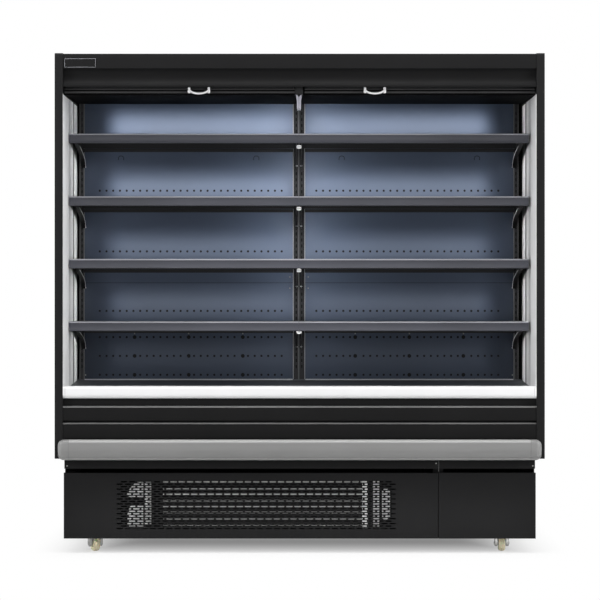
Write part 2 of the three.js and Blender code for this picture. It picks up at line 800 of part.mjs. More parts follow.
// Casters ------------------------------------------------------------------------

// The fork about its kingpin, its wheel set back by the trail.
function casterFork() {
  const crownTop = trayHeight - casterPadDepth - clearance;
  const crownBottom = crownTop - 8;
  const inside = wheelWidth / 2 + 1;
  const cheek = (x0) => alongX(outline([
    [casterTrail - 9, wheelRadius - 8], [casterTrail + 9, wheelRadius - 8],
    [casterTrail + 10, wheelRadius + 8], [forkPlateRadius - 2, crownBottom + 3],
    [-forkPlateRadius + 6, crownBottom + 3], [casterTrail - 13, wheelRadius + 6],
  ]), x0, x0 + forkSideThickness);
  const axle = cylinderX(axleRadius, -inside - 1, inside + 1, 8)
    .translate(0, casterTrail, wheelRadius);
  return union(
    cylinderZ(forkPlateRadius, crownBottom, crownTop, 16),
    cylinderZ(kingpinRadius, crownBottom, trayTop, 12),
    cheek(inside), cheek(-inside - forkSideThickness), axle,
  );
}

function casterWheel() {
  const half = wheelWidth / 2;
  const bore = axleRadius + clearance;
  const tread = [
    [bore, -half], [wheelRadius - 6, -half], [wheelRadius, -half + 6],
    [wheelRadius, half - 6], [wheelRadius - 6, half], [bore, half], [bore, -half],
  ];
  const wheel = new THREE.LatheGeometry(tread.map(([r, h]) => new THREE.Vector2(r, h)), 18);
  return solidOf(wheel).rotate(0, 0, 90);
}

casterSpots.forEach(([spot, x, y, swivel]) => {
  const caster = new THREE.Group();
  caster.position.set(x, y, 0);
  caster.rotation.z = THREE.MathUtils.degToRad(swivel);
  fridge.add(caster);
  addPiece(`caster_fork_${spot}`, casterFork(), bareMetal, caster);
  const wheel = addPiece(`caster_wheel_${spot}`, casterWheel(), nylonCream, caster);
  wheel.position.set(0, casterTrail, wheelRadius);
});

// Refrigeration ------------------------------------------------------------------

const coilLeft = ventLeft + coilLeftMargin;
const coilRight = ventRight - coilRightMargin;
const coilFrontY = baseSeatY + coilSetback;
const coilRearY = coilFrontY + coilDepth;
const fanX = (coilLeft + coilRight) / 2 + fanOffset;
const shroudRearY = coilRearY + fanShroudDepth;

// Finned block with hairpin bends at its left end and flat end plates beside
// it, and behind it the shroud with the fan's opening and motor.
function condenserCoil() {
  const seat = trayTop + clearance;
  const core = block([coilLeft, coilRight], [coilFrontY, coilRearY], [coilBottom, coilTop]);
  const foot = block([coilLeft, coilRight], [coilFrontY, coilRearY], [seat, coilBottom + 1]);
  const tongue = (x0, x1, bulge) => {
    const plate = new THREE.Shape();
    plate.moveTo(x0, seat);
    plate.lineTo(x1, seat);
    plate.lineTo(x1, coilTop);
    plate.lineTo(x0, coilTop);
    plate.quadraticCurveTo(x0 + bulge, (seat + coilTop) / 2, x0, seat);
    return alongY(plate, coilRearY - 3, coilRearY + 1, 5);
  };
  const pitch = (coilTop - coilBottom) / coilBendRows;
  const bends = Array.from({ length: coilBendRows }, (_, i) => {
    const radius = pitch * 0.3;
    const bend = new THREE.TorusGeometry(radius, coilTubeRadius, 6, 12);
    const turned = solidOf(bend).rotate(90, 0, 0);
    return turned.translate(coilLeft, coilFrontY + coilDepth / 2, coilBottom + pitch * (i + 0.5));
  });
  const shell = block([coilLeft, coilRight], [coilRearY - 1, shroudRearY], [seat, coilTop])
    .subtract(block([coilLeft + sheet, coilRight - sheet], [coilRearY, shroudRearY - sheet],
      [seat + sheet, coilTop - sheet]))
    .subtract(cylinderY(fanRadius + 6, shroudRearY - 10, shroudRearY + 10, 28)
      .translate(fanX, 0, fanHeight));
  const arms = [0, 120, 240].map((angle) => (
    block([-6, 6], [shroudRearY, shroudRearY + 6], [motorRadius - 6, fanRadius + 16])
      .rotate(0, angle, 0)
      .translate(fanX, 0, fanHeight)));
  const clipped = arms.map((arm) => arm.intersect(
    block([coilLeft, coilRight], [shroudRearY - 1, shroudRearY + 7], [seat, coilTop])));
  const motor = cylinderY(motorRadius, shroudRearY, shroudRearY + motorLength, 16)
    .translate(fanX, 0, fanHeight);
  return union(core, foot, ...bends, shell, ...clipped, motor,
    tongue(coilLeft - coilEndPlateLeft, coilLeft + 1, coilEndPlateWaist),
    tongue(coilRight - 1, coilRight + coilEndPlateRight, 0));
}

// Hub and pitched blades about the fan's axis, the shaft running into the motor.
function condenserFan() {
  const hubRadius = 24;
  const thickness = 3;
  const blade = new THREE.Shape();
  blade.moveTo(-14, hubRadius - 6);
  blade.lineTo(14, hubRadius - 6);
  blade.quadraticCurveTo(34, fanRadius * 0.7, 26, fanRadius - 6);
  blade.quadraticCurveTo(0, fanRadius + 4, -30, fanRadius - 8);
  blade.closePath();
  const blades = Array.from({ length: fanBlades }, (_, i) => (
    alongY(blade, -thickness / 2, thickness / 2, 4).rotate(0, 0, 28)
      .rotate(0, (360 / fanBlades) * i, 0)));
  return union(cylinderY(hubRadius, -fanHubHalfLength, fanHubHalfLength, 16), ...blades);
}

function compressor() {
  const r = compressorRadius;
  const h = compressorHeight;
  const foot = 14;
  const can = [
    [0, foot], [r * 0.7, foot], [r, foot + 22], [r, h * 0.5], [r + 4, h * 0.5], [r + 4, h * 0.54],
    [r, h * 0.54], [r, h - 42], [r * 0.86, h - 14], [r * 0.5, h], [0, h],
  ];
  const shell = new THREE.LatheGeometry(can.map(([u, v]) => new THREE.Vector2(u, v)), 24);
  const base = block([-r - 8, r + 8], [-r + 6, r - 6], [8, foot + 4]);
  const feet = [-1, 1].flatMap((i) => [-1, 1].map((j) => (
    cylinderZ(11, 0, 9, 10).translate(i * (r - 6), j * (r - 22), 0))));
  const terminals = block([r - 8, r + 34], [-30, 30], [h * 0.55, h * 0.8]);
  return union(solidOf(shell).rotate(90, 0, 0), base, ...feet, terminals);
}

// Finned block whose end plates stand on the tub's floor and carry the deck.
function evaporator() {
  const floor = tubFloorTop + clearance;
  const underDeck = (y) => deckHeight(y) - sheet * 1.01 - clearance;
  const half = innerHalf - evaporatorEndMargin;
  const front = yTub + evaporatorFrontSetback;
  const rear = yRear - evaporatorRearSetback;
  const core = block([-half, half], [front, rear],
    [floor + evaporatorCoreRise, floor + evaporatorCoreRise + evaporatorCoreHeight]);
  const endPlate = (x0) => alongX(outline([
    [front - 10, floor], [rear + 10, floor],
    [rear + 10, underDeck(rear + 10)],
    [front - 10, underDeck(front - 10)],
  ]), x0, x0 + sheet * 2);
  return union(core, endPlate(-half - sheet), endPlate(half - sheet));
}

addPiece('condenser_coil', condenserCoil(), bareMetal);
const fan = addPiece('condenser_fan', condenserFan(), blackSteel);
fan.position.set(fanX, shroudRearY - fanHubHalfLength - clearance, fanHeight);
const pump = addPiece('compressor', compressor(), blackSteel);
pump.position.set(overallWidth / 2 - compressorInset, yBack - compressorRearSetback, trayTop + clearance);
addPiece('evaporator', evaporator(), bareMetal);

export default fridge;
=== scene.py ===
"""Open multideck display fridge: finishes, fine pieces, studio and camera. Lengths are
in metres, and the tables of points that placed() takes are in millimetres."""

import math

import bmesh
import bpy
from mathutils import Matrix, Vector
from mathutils.geometry import delaunay_2d_cdt

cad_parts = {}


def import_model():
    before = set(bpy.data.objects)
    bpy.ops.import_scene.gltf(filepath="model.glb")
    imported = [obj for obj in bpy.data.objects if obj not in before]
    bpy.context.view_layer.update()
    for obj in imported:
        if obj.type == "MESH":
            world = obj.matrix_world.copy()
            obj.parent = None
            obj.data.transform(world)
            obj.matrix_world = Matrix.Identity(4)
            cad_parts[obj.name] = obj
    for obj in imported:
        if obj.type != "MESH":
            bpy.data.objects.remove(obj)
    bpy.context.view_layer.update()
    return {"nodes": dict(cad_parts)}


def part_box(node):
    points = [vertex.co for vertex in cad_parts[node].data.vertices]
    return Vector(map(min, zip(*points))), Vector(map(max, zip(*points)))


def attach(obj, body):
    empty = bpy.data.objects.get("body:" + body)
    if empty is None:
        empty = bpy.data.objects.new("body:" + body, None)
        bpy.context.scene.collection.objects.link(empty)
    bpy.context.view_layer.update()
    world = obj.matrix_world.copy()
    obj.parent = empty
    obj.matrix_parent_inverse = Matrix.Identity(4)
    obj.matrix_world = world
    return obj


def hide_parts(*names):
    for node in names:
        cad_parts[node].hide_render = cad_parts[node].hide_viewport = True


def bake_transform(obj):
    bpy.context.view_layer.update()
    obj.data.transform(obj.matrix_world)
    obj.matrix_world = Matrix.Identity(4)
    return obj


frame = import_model()

MM = 0.001
SHEET = 2 * MM
FRONT_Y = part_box("end_panel_left")[0][1]
TO_FRONT = (0, -1, 0)
TO_REAR = (0, 1, 0)
SIDES = ("left", "right")
LEVELS = (1, 2, 3, 4)
CASTERS = ("front_left", "front_right", "rear_left", "rear_right")


# Node trees

class Tree:
    """A node tree and short ways to add to it."""

    def __init__(self, tree):
        self.tree = tree

    def node(self, kind, **values):
        """Adds a shader node. A value goes to the input or else the setting of its name."""
        made = self.tree.nodes.new("ShaderNode" + kind)
        for key, value in values.items():
            socket = key.replace("_", " ")
            if socket in made.inputs:
                made.inputs[socket].default_value = value
            else:
                setattr(made, key, value)
        return made

    def link(self, source, target):
        self.tree.links.new(source, target)

    def math(self, operation, *sources):
        made = self.node("Math", operation=operation)
        for source, socket in zip(sources, made.inputs):
            self.link(source, socket)
        return made.outputs["Value"]

    def axes(self, coordinates):
        """X, Y and Z of a texture coordinate."""
        split = self.node("SeparateXYZ")
        self.link(self.node("TexCoord").outputs[coordinates], split.inputs[0])
        return split.outputs

    def rescale(self, source, low, high):
        """Takes 0 to 1 onto low to high."""
        made = self.node("MapRange", To_Min=low, To_Max=high)
        self.link(source, made.inputs["Value"])
        return made.outputs["Result"]

    def fade(self, source, start, end, low=0.0):
        """Rises smoothly from low at start to 1 at end."""
        made = self.node("MapRange", interpolation_type="SMOOTHSTEP",
                         From_Min=start, From_Max=end, To_Min=low)
        self.link(source, made.inputs["Value"])
        return made.outputs["Result"]

    def background_rays(self):
        """1 for the rays that see the background: camera, glossy and transmission."""
        path = self.node("LightPath")
        seen = path.outputs["Is Camera Ray"]
        for ray in ("Is Glossy Ray", "Is Transmission Ray"):
            seen = self.math("MAXIMUM", seen, path.outputs[ray])
        return seen

    def mix(self, factor, first, second):
        made = self.node("MixShader")
        self.link(factor, made.inputs["Fac"])
        self.link(first.outputs[0], made.inputs[1])
        self.link(second.outputs[0], made.inputs[2])
        return made


class Finish(Tree):
    """A material's node tree round its Principled shader."""

    def __init__(self, name, **shader):
        self.material = bpy.data.materials.new(name)
        self.material.use_nodes = True
        super().__init__(self.material.node_tree)
        self.shader = self.tree.nodes["Principled BSDF"]
        self.place = self.node("TexCoord").outputs["Object"]
        for key, value in shader.items():
            self.shader.inputs[key.replace("_", " ")].default_value = value

    def noise(self, scale, detail, stretch=(1, 1, 1)):
        mapping = self.node("Mapping", Scale=stretch)
        self.link(self.place, mapping.inputs["Vector"])
        made = self.node("TexNoise", Scale=scale, Detail=detail)
        self.link(mapping.outputs["Vector"], made.inputs["Vector"])
        return made.outputs["Fac"]

    def shades(self, factor, colour, dark, light):
        """From a dark to a light share of one colour."""
        made = self.node("ValToRGB")
        for stop, position, share in zip(made.color_ramp.elements, (0.3, 0.7), (dark, light)):
            stop.position = position
            stop.color = (*(min(1.0, c * share) for c in colour), 1.0)
        self.link(factor, made.inputs["Fac"])
        return made.outputs["Color"]

    def colour(self, source):
        self.link(source, self.shader.inputs["Base Color"])

    def roughness(self, source):
        self.link(source, self.shader.inputs["Roughness"])

    def relief(self, height, distance):
        made = self.node("Bump", Strength=0.5, Distance=distance)
        self.link(height, made.inputs["Height"])
        self.link(made.outputs["Normal"], self.shader.inputs["Normal"])


# Materials

COAT_GRAIN = 900.0
COAT_RELIEF = 0.05 * MM
DRAWN_RELIEF = 0.04 * MM
THREAD = 0.7 * MM
THREAD_RELIEF = 0.15 * MM


def painted(name, colour, roughness, gloss=0.5, grain=COAT_GRAIN, spread=0.12, **shader):
    """Powder coat or moulded plastic: fine relief, faint mottling and rub marks."""
    made = Finish(name, Roughness=roughness, Specular_IOR_Level=gloss, **shader)
    mottle = made.noise(3.0, 4.0)
    made.colour(made.shades(mottle, colour, 1 - spread, 1 + spread))
    rub = made.noise(14.0, 5.0)
    made.roughness(made.rescale(rub, roughness - 0.05, roughness + 0.06))
    made.relief(made.noise(grain, 2.0), COAT_RELIEF)
    return made.material


def shade_painted(name, colour, roughness, gloss, downward, outward):
    """Interior paint with painted shade: darker toward the cabinet's bottom and its ends. Both
    falls hold the place of the darkest tone, that of the full tone, and the dark share."""
    made = Finish(name, Roughness=roughness, Specular_IOR_Level=gloss)
    mottle = made.shades(made.noise(3.0, 4.0), colour, 0.95, 1.05)
    x, _, z = made.axes("Object")
    # Painted shade: the colour falls toward the bottom and toward the ends.
    painted_shade = made.math("MULTIPLY", made.fade(z, *downward),
                     made.fade(made.math("ABSOLUTE", x), *outward))
    scaled = made.node("VectorMath", operation="SCALE")
    made.link(mottle, scaled.inputs[0])
    made.link(painted_shade, scaled.inputs["Scale"])
    made.colour(scaled.outputs["Vector"])
    made.relief(made.noise(COAT_GRAIN, 2.0), COAT_RELIEF)
    return made.material


def bare_metal(name, colour, roughness, stretch):
    """Rolled or plated metal with fine drawn lines."""
    made = Finish(name, Metallic=1.0)
    lines = made.noise(60.0, 5.0, stretch)
    made.colour(made.shades(lines, colour, 0.86, 1.08))
    made.roughness(made.rescale(lines, roughness - 0.08, roughness + 0.1))
    made.relief(lines, DRAWN_RELIEF)
    return made.material


def woven(name, colour):
    """Blind cloth: two crossing sets of threads."""
    made = Finish(name, Roughness=0.9)
    waves = []
    for direction in ("X", "Z"):
        wave = made.node("TexWave", bands_direction=direction, Scale=0.16 / THREAD)
        made.link(made.place, wave.inputs["Vector"])
        waves.append(wave.outputs["Fac"])
    weave = made.math("MAXIMUM", *waves)
    made.colour(made.shades(weave, colour, 0.7, 1.2))
    made.relief(weave, THREAD_RELIEF)
    return made.material


BLACK = painted("black_powder_coat", (0.0067, 0.0067, 0.007), 0.55, 0.09)
END_BLACK = painted("black_end_panel", (0.0085, 0.0085, 0.0088), 0.55, 0.1)
BLACK_SATIN = painted("black_satin_sheet", (0.0062, 0.0062, 0.0064), 0.5, 0.1)
BLACK_INSIDE = painted("black_inner_sheet", (0.008, 0.0082, 0.009), 0.5, 0.2)
CEILING_BLACK = painted("ceiling_black", (0.004, 0.004, 0.0042), 0.7, 0.02)
SHELF_BLACK = painted("shelf_powder_coat", (0.018, 0.0185, 0.021), 0.45, 0.3)
DECK_BLACK = painted("deck_powder_coat", (0.08, 0.084, 0.094), 0.45, 0.3)
PULL_BLACK = painted("pull_bar_black", (0.025, 0.025, 0.026), 0.45, 0.22)
PLASTIC_BLACK = painted("black_moulding", (0.01, 0.01, 0.01), 0.5, grain=600.0)
TICKET_GREY = painted("ticket_strip_plastic", (0.05, 0.052, 0.065), 0.38, 0.34, grain=400.0)
# Painted highlight for the ticket strips' top lips, also used on the blank plate's frame.
TICKET_HIGHLIGHT = painted("ticket_strip_edge_highlight", (0.32, 0.32, 0.35), 0.35)
# Painted highlight for the centre upright's edges.
UPRIGHT_HIGHLIGHT = painted("upright_edge_highlight", (0.33, 0.335, 0.36), 0.35)
RIB_GREY = painted("rib_grey", (0.075, 0.077, 0.083), 0.45)
GUIDE_GREY = painted("guide_moulding", (0.3, 0.3, 0.35), 0.35, spread=0.05)
# Painted highlight for the deck's rear edge.
DECK_HIGHLIGHT = painted("deck_edge_highlight", (0.6, 0.61, 0.64), 0.4, 0.4)
# Painted highlight for the shelf arms' edges.
ARM_HIGHLIGHT = painted("arm_edge_highlight", (0.6, 0.61, 0.64), 0.35)
# Painted highlight for the side uprights' edges and the base rail's joint.
JOINT_HIGHLIGHT = painted("joint_edge_highlight", (0.12, 0.12, 0.12), 0.4)
# Blue-grey back with painted shade toward its bottom and its ends.
REAR_BLUE = shade_painted("interior_blue_grey_shaded", (0.130, 0.168, 0.25), 0.42, 0.2,
                   downward=(0.64, 1.35, 0.42), outward=(0.93, 0.74, 0.4))
LINER = painted("liner_light", (0.86, 0.86, 0.86), 0.4, 0.4, spread=0.03)
LINER_MID = painted("liner_mid_grey", (0.57, 0.57, 0.575), 0.4, 0.4, spread=0.03)
# Painted shade in the liners' grooves.
LINER_GROOVE_SHADE = painted("liner_groove_shade", (0.1, 0.1, 0.104), 0.5, spread=0.05)
NOSE = painted("white_nose_rail", (0.73, 0.73, 0.735), 0.32, grain=300.0, spread=0.012)
# Painted highlight for the front panels' lips.
LIP_HIGHLIGHT = painted("panel_lip_highlight", (0.14, 0.14, 0.14), 0.35)
BUMPER = painted("grey_bumper_vinyl", (0.205, 0.205, 0.203), 0.36, 0.4, grain=700.0,
                 spread=0.04)
# Painted highlight along the bumper's upper round.
BUMPER_HIGHLIGHT = painted("bumper_highlight", (0.3, 0.3, 0.297), 0.4, spread=0.03)
WHITE_PART = painted("white_moulding", (0.72, 0.72, 0.73), 0.3, spread=0.03)
CLIP_GREY = painted("grey_clip", (0.9, 0.9, 0.91), 0.4, spread=0.06)
NYLON = painted("cream_nylon", (0.82, 0.76, 0.53), 0.42, grain=500.0, spread=0.05,
                Subsurface_Weight=0.1, Subsurface_Scale=0.01)
END_PLATE = painted("coil_end_plate", (0.8, 0.8, 0.79), 0.45, spread=0.05)
# Light grey for both the tubes' metal and their glint: partly painted highlight.
COIL_TUBE = painted("coil_tube", (0.58, 0.58, 0.565), 0.4, 0.6)
# Near black: painted shadow behind the grille, for the fins and the baffles.
DARK_FIN = painted("fin_shadow", (0.001, 0.001, 0.001), 0.9, 0.0, grain=300.0)
ZINC = bare_metal("zinc_plate", (0.34, 0.34, 0.33), 0.38, (20, 1, 1))
ALUMINIUM = bare_metal("aluminium_fins", (0.45, 0.455, 0.46), 0.35, (60, 1, 1))
# Near black: partly the cloth's own dark colour, partly painted shade under the canopy.
SHADED_CLOTH = woven("blind_cloth", (0.010, 0.0105, 0.012))

CARRIED = {
    BLACK: ["cabinet_body", "base_frame", "access_panel"],
    END_BLACK: ["end_panel_left", "end_panel_right"],
    CEILING_BLACK: ["canopy_ceiling"],
    DECK_BLACK: ["return_grille", "deck_pan"],
    SHELF_BLACK: [f"shelf_{side}_{level}" for side in SIDES for level in LEVELS]
    + [f"bracket_pair_{level}" for level in LEVELS],
    PLASTIC_BLACK: ["condenser_fan", "compressor"],
    ALUMINIUM: ["evaporator"],
    LINER: ["side_liner_left", "side_liner_right"],
    SHADED_CLOTH: ["blind_roller_left", "blind_roller_right"],
    ZINC: [f"caster_fork_{spot}" for spot in CASTERS],
}

for material, names in CARRIED.items():
    for name in names:
        carried = frame["nodes"][name].data.materials
        carried.clear()
        carried.append(material)


# Mesh making

def finish_mesh(name, bm, material, body="root", sharp=32.0, replaces=()):
    """Links a bmesh as a named piece that rides on a body, smooth up to an angle. A
    piece that deforms between two bodies is given no body here."""
    bmesh.ops.remove_doubles(bm, verts=bm.verts, dist=1e-6)
    bmesh.ops.recalc_face_normals(bm, faces=bm.faces)
    limit = math.radians(sharp)
    for face in bm.faces:
        face.smooth = True
    for edge in bm.edges:
        if len(edge.link_faces) == 2 and edge.calc_face_angle(0.0) > limit:
            edge.smooth = False
    mesh = bpy.data.meshes.new(name)
    bm.to_mesh(mesh)
    bm.free()
    mesh.materials.append(material)
    piece = bpy.data.objects.new(name, mesh)
    bpy.context.scene.collection.objects.link(piece)
    bpy.context.view_layer.update()
    if body:
        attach(piece, body)
    if replaces:
        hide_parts(*replaces)
    return piece


def soften(bm, width, angle=40.0):
    """Rounds the edges that are sharper than an angle."""
    limit = math.radians(angle)
    edges = [e for e in bm.edges
             if len(e.link_faces) == 2 and e.calc_face_angle(0.0) > limit]
    bmesh.ops.bevel(bm, geom=edges, offset=width, segments=2, profile=0.5,
                    affect="EDGES", clamp_overlap=True)


def add_loft(bm, rings):
    """Joins rings of points of one length into a tube, closed at its ends."""
    loops = [[bm.verts.new(p) for p in ring] for ring in rings]
    count = len(loops[0])
    for low, high in zip(loops, loops[1:]):
        for i in range(count):
            j = (i + 1) % count
            bm.faces.new((low[i], low[j], high[j], high[i]))
    bm.faces.new(loops[0])
    bm.faces.new(list(reversed(loops[-1])))


def add_prism_x(bm, outline, x0, x1):
    add_loft(bm, [[(x, y, z) for y, z in outline] for x in (x0, x1)])


def add_prism_y(bm, outline, y0, y1):
    add_loft(bm, [[(x, y, z) for x, z in outline] for y in (y0, y1)])


def add_box(bm, corner, opposite):
    (x0, y0, z0), (x1, y1, z1) = corner, opposite
    add_prism_x(bm, [(y0, z0), (y1, z0), (y1, z1), (y0, z1)], x0, x1)


def add_turned(bm, centre, axis, profile, sides=12):
    """A turned form: rings of (distance along the axis, radius) about a centre."""
    turn = Vector(axis).normalized().to_track_quat("Z", "Y").to_matrix()
    origin = Vector(centre)
    add_loft(bm, [[origin + turn @ Vector((u, v, along))
                   for u, v in oval(0, 0, radius, radius, sides)] for along, radius in profile])


def add_tube(bm, path, radius, sides=10):
    """A round bar along a run of points."""
    points = [Vector(p) for p in path]
    rings = []
    for i, point in enumerate(points):
        before = points[max(i - 1, 0)]
        after = points[min(i + 1, len(points) - 1)]
        turn = (after - before).to_track_quat("Z", "Y").to_matrix()
        rings.append([point + turn @ Vector((u, v, 0))
                      for u, v in oval(0, 0, radius, radius, sides)])
    add_loft(bm, rings)


def placed(table, u=0.0, v=0.0):
    """A table of points in millimetres, set at (u, v)."""
    return [(u + du * MM, v + dv * MM) for du, dv in table]


def arc(cu, cv, radius, start, end, steps):
    angles = (start + (end - start) * i / steps for i in range(steps + 1))
    return [(cu + radius * math.cos(a), cv + radius * math.sin(a)) for a in angles]


def oval(u, v, reach, rise, sides):
    angles = (2 * math.pi * k / sides for k in range(sides))
    return [(u + reach * math.cos(a), v + rise * math.sin(a)) for a in angles]


def round_hole(u, v, radius, sides):
    return oval(u, v, radius, -radius, sides)


def long_hole(u, v, length, height, steps=2):
    """A slot with round ends, along u."""
    r = height / 2
    s = length / 2 - r
    right = arc(u + s, v, r, math.pi / 2, -math.pi / 2, steps)
    left = arc(u - s, v, r, -math.pi / 2, -3 * math.pi / 2, steps)
    return right + left


def folded(points, thickness):
    """Outline of a sheet folded along a run of points, the sheet to the run's left."""
    run = [Vector(p) for p in points]
    normals = []
    for a, b in zip(run, run[1:]):
        along = (b - a).normalized()
        normals.append(Vector((-along.y, along.x)))
    offset = []
    for i, point in enumerate(run):
        before = normals[max(i - 1, 0)]
        after = normals[min(i, len(normals) - 1)]
        mitre = (before + after).normalized()
        offset.append(point + mitre * (thickness / mitre.dot(after)))
    return [tuple(p) for p in run + offset[::-1]]


def add_perforated(bm, corners, holes, depth, across):
    """A flat sheet between two corners with holes right through it. across maps a
    point (u, v, d) of the sheet, d from 0 at its face to depth at its back, to space."""
    (u0, v0), (u1, v1) = corners
    points = [Vector(p) for p in ((u0, v0), (u1, v0), (u1, v1), (u0, v1))]
    faces = [[0, 1, 2, 3]]
    for hole in holes:
        start = len(points)
        points += [Vector(p) for p in hole]
        faces.append(list(range(start, len(points))))
    holes_left_out = 5
    made = delaunay_2d_cdt(points, [], faces, holes_left_out, 1e-7)
    flat_points, flat_faces = made[0], made[2]
    front = [bm.verts.new(across(p.x, p.y, 0.0)) for p in flat_points]
    back = [bm.verts.new(across(p.x, p.y, depth)) for p in flat_points]
    used = set()
    for face in flat_faces:
        bm.faces.new([front[i] for i in face])
        bm.faces.new([back[i] for i in reversed(face)])
        used.update(zip(face, face[1:] + face[:1]))
    for a, b in sorted(used):
        if (b, a) not in used:
            bm.faces.new((front[b], front[a], back[a], back[b]))


# Cabinet outside

LIP_LINE = ((11, 5.5), (9, 4.5), (1.5, 1.6), (0, 0.2))


def front_panel(name, node):
    """A folded panel with a rounded fold, and its lip lighter: a painted highlight."""
    low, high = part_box(node)
    face, rear = low[1], high[1]
    top = high[2] - 5.5 * MM
    tuck = 1.2 * MM
    fold = 2.5 * MM
    rounded = arc(face + fold, low[2] + fold, fold, math.pi, 1.5 * math.pi, 4)
    bm = bmesh.new()
    run = [(face + tuck, top), *rounded, (rear, low[2])]
    add_prism_x(bm, folded(run, SHEET), low[0], high[0])
    finish_mesh(name, bm, BLACK_SATIN, replaces=(node,))
    bm = bmesh.new()
    run = [(rear, high[2]), *placed(LIP_LINE, face, top)]
    add_prism_x(bm, folded(run, SHEET), low[0], high[0])
    finish_mesh(name + "_lip", bm, LIP_HIGHLIGHT)


def fascia():
    """Flat face over a smooth concave cove, with a drip edge below it."""
    low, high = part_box("canopy_fascia")
    face_height = 58 * MM
    half = 34 * MM
    depth = 22 * MM
    radius = (half * half + depth * depth) / (2 * depth)
    reach = math.asin(half / radius)
    middle = high[2] - face_height - half
    edge = 1.5 * MM
    run = [(high[1], high[2]),
           *arc(low[1] + edge, high[2] - edge, edge, math.pi / 2, math.pi, 4),
           *arc(low[1] + depth - radius, middle, radius, reach, -reach, 40),
           (low[1], low[2]), (low[1] + depth, low[2])]
    bm = bmesh.new()
    add_prism_x(bm, folded(run, SHEET), low[0], high[0])
    finish_mesh("fascia_cover", bm, BLACK, replaces=("canopy_fascia",))


def blank_plate():
    """The bare plate at the fascia's left end: a thin frame round an empty field."""
    x0, x1 = -933 * MM, -806 * MM
    z0, z1 = 1923 * MM, 1962 * MM
    face = FRONT_Y + SHEET
    bm = bmesh.new()
    add_box(bm, (x0, face - 1.2 * MM, z0), (x1, face - 0.1 * MM, z1))
    soften(bm, 0.5 * MM)
    finish_mesh("blank_plate", bm, BLACK_SATIN)
    outer, inner = 2.2 * MM, 3.2 * MM
    field = [(x0 + inner, z0 + inner), (x1 - inner, z0 + inner),
             (x1 - inner, z1 - inner), (x0 + inner, z1 - inner)]
    # The frame's light grey is a painted highlight of the plate's edge.
    bm = bmesh.new()
    add_perforated(bm, ((x0 + outer, z0 + outer), (x1 - outer, z1 - outer)), [field], 0.5 * MM,
                   lambda u, v, d: (u, face - 1.7 * MM + d, v))
    finish_mesh("blank_plate_rim", bm, TICKET_HIGHLIGHT)


def nose():
    """White rail with a rounded front that tucks back under itself, and its end caps."""
    low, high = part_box("nose_rail")
    wall = 3 * MM
    rear_drop = 38 * MM
    tuck = 19.7 * MM
    r_top, r_low = 11 * MM, 15 * MM
    run = [(high[1], high[2] - rear_drop), (high[1], high[2]),
           *arc(low[1] + r_top, high[2] - r_top, r_top, math.pi / 2, math.pi, 10),
           *arc(low[1] + r_low, low[2] + r_low, r_low, math.pi, 1.5 * math.pi, 10),
           (FRONT_Y + tuck, low[2])]
    outline = folded(run, wall)
    cap = 9 * MM
    groove = 0.8 * MM
    bm = bmesh.new()
    add_prism_x(bm, outline, low[0] + cap, high[0] - cap)
    finish_mesh("nose_cover", bm, NOSE, replaces=("nose_rail",))
    bm = bmesh.new()
    add_prism_x(bm, outline, low[0], low[0] + cap - groove)
    add_prism_x(bm, outline, high[0] - cap + groove, high[0])
    soften(bm, 0.6 * MM)
    finish_mesh("nose_end_caps", bm, NOSE)


# Bumper

BUMPER_LOW, BUMPER_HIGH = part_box("bumper")
BUMPER_FACE = ((9, 0), (6, 1.2), (5.4, 4.4), (10.4, 7.6), (2.6, 29), (0.8, 35), (0, 42))
BUMPER_ROUND = 14 * MM
BUMPER_JOINT = BUMPER_HIGH[0] - 43 * MM
BUMPER_GROOVE = 0.7 * MM


def bumper_ring(x, set_back=0.0, squeeze=1.0):
    """The bumper's outline at x, its face set back and its height squeezed."""
    front, back = BUMPER_LOW[1], BUMPER_HIGH[1]
    bottom, top = BUMPER_LOW[2], BUMPER_HIGH[2]
    middle = (bottom + top) / 2
    shoulder = arc(front + BUMPER_ROUND, top - BUMPER_ROUND, BUMPER_ROUND, math.pi,
                   math.pi / 2, 8)
    ring = []
    for y, z in ((back, bottom), *placed(BUMPER_FACE, front, bottom), *shoulder, (back, top)):
        depth = y + set_back * (back - y) / (back - front)
        ring.append((x, depth, middle + (z - middle) * squeeze))
    return ring


def bumper():
    """Vinyl bumper and the dark strips in the grooves beside its end caps."""
    inner = BUMPER_JOINT - BUMPER_GROOVE
    bm = bmesh.new()
    add_loft(bm, [bumper_ring(x) for x in (-inner, inner)])
    soften(bm, 0.5 * MM, 60)
    finish_mesh("bumper_body", bm, BUMPER, replaces=("bumper",))
    bm = bmesh.new()
    for joint in (-BUMPER_JOINT, BUMPER_JOINT):
        add_loft(bm, [bumper_ring(joint + x, 1.5 * MM) for x in (-BUMPER_GROOVE, BUMPER_GROOVE)])
    finish_mesh("bumper_joint_strips", bm, PLASTIC_BLACK)


def bumper_cap(side):
    """End cap, rounded toward its end and at its corners."""
    sign = -1 if side == "left" else 1
    end = 26 * MM
    corner = 22 * MM
    rise = (BUMPER_HIGH[2] - BUMPER_LOW[2]) / 2
    rings = [bumper_ring(sign * BUMPER_JOINT)]
    steps = 10
    for i in range(steps + 1):
        angle = math.pi / 2 * i / steps
        x = BUMPER_HIGH[0] - end * (1 - math.sin(angle))
        turned = 1 - math.cos(angle)
        rings.append(bumper_ring(sign * x, end * turned, 1 - corner * turned / rise))
    bm = bmesh.new()
    add_loft(bm, rings)
    finish_mesh(f"bumper_cap_{side}", bm, BUMPER, sharp=50)


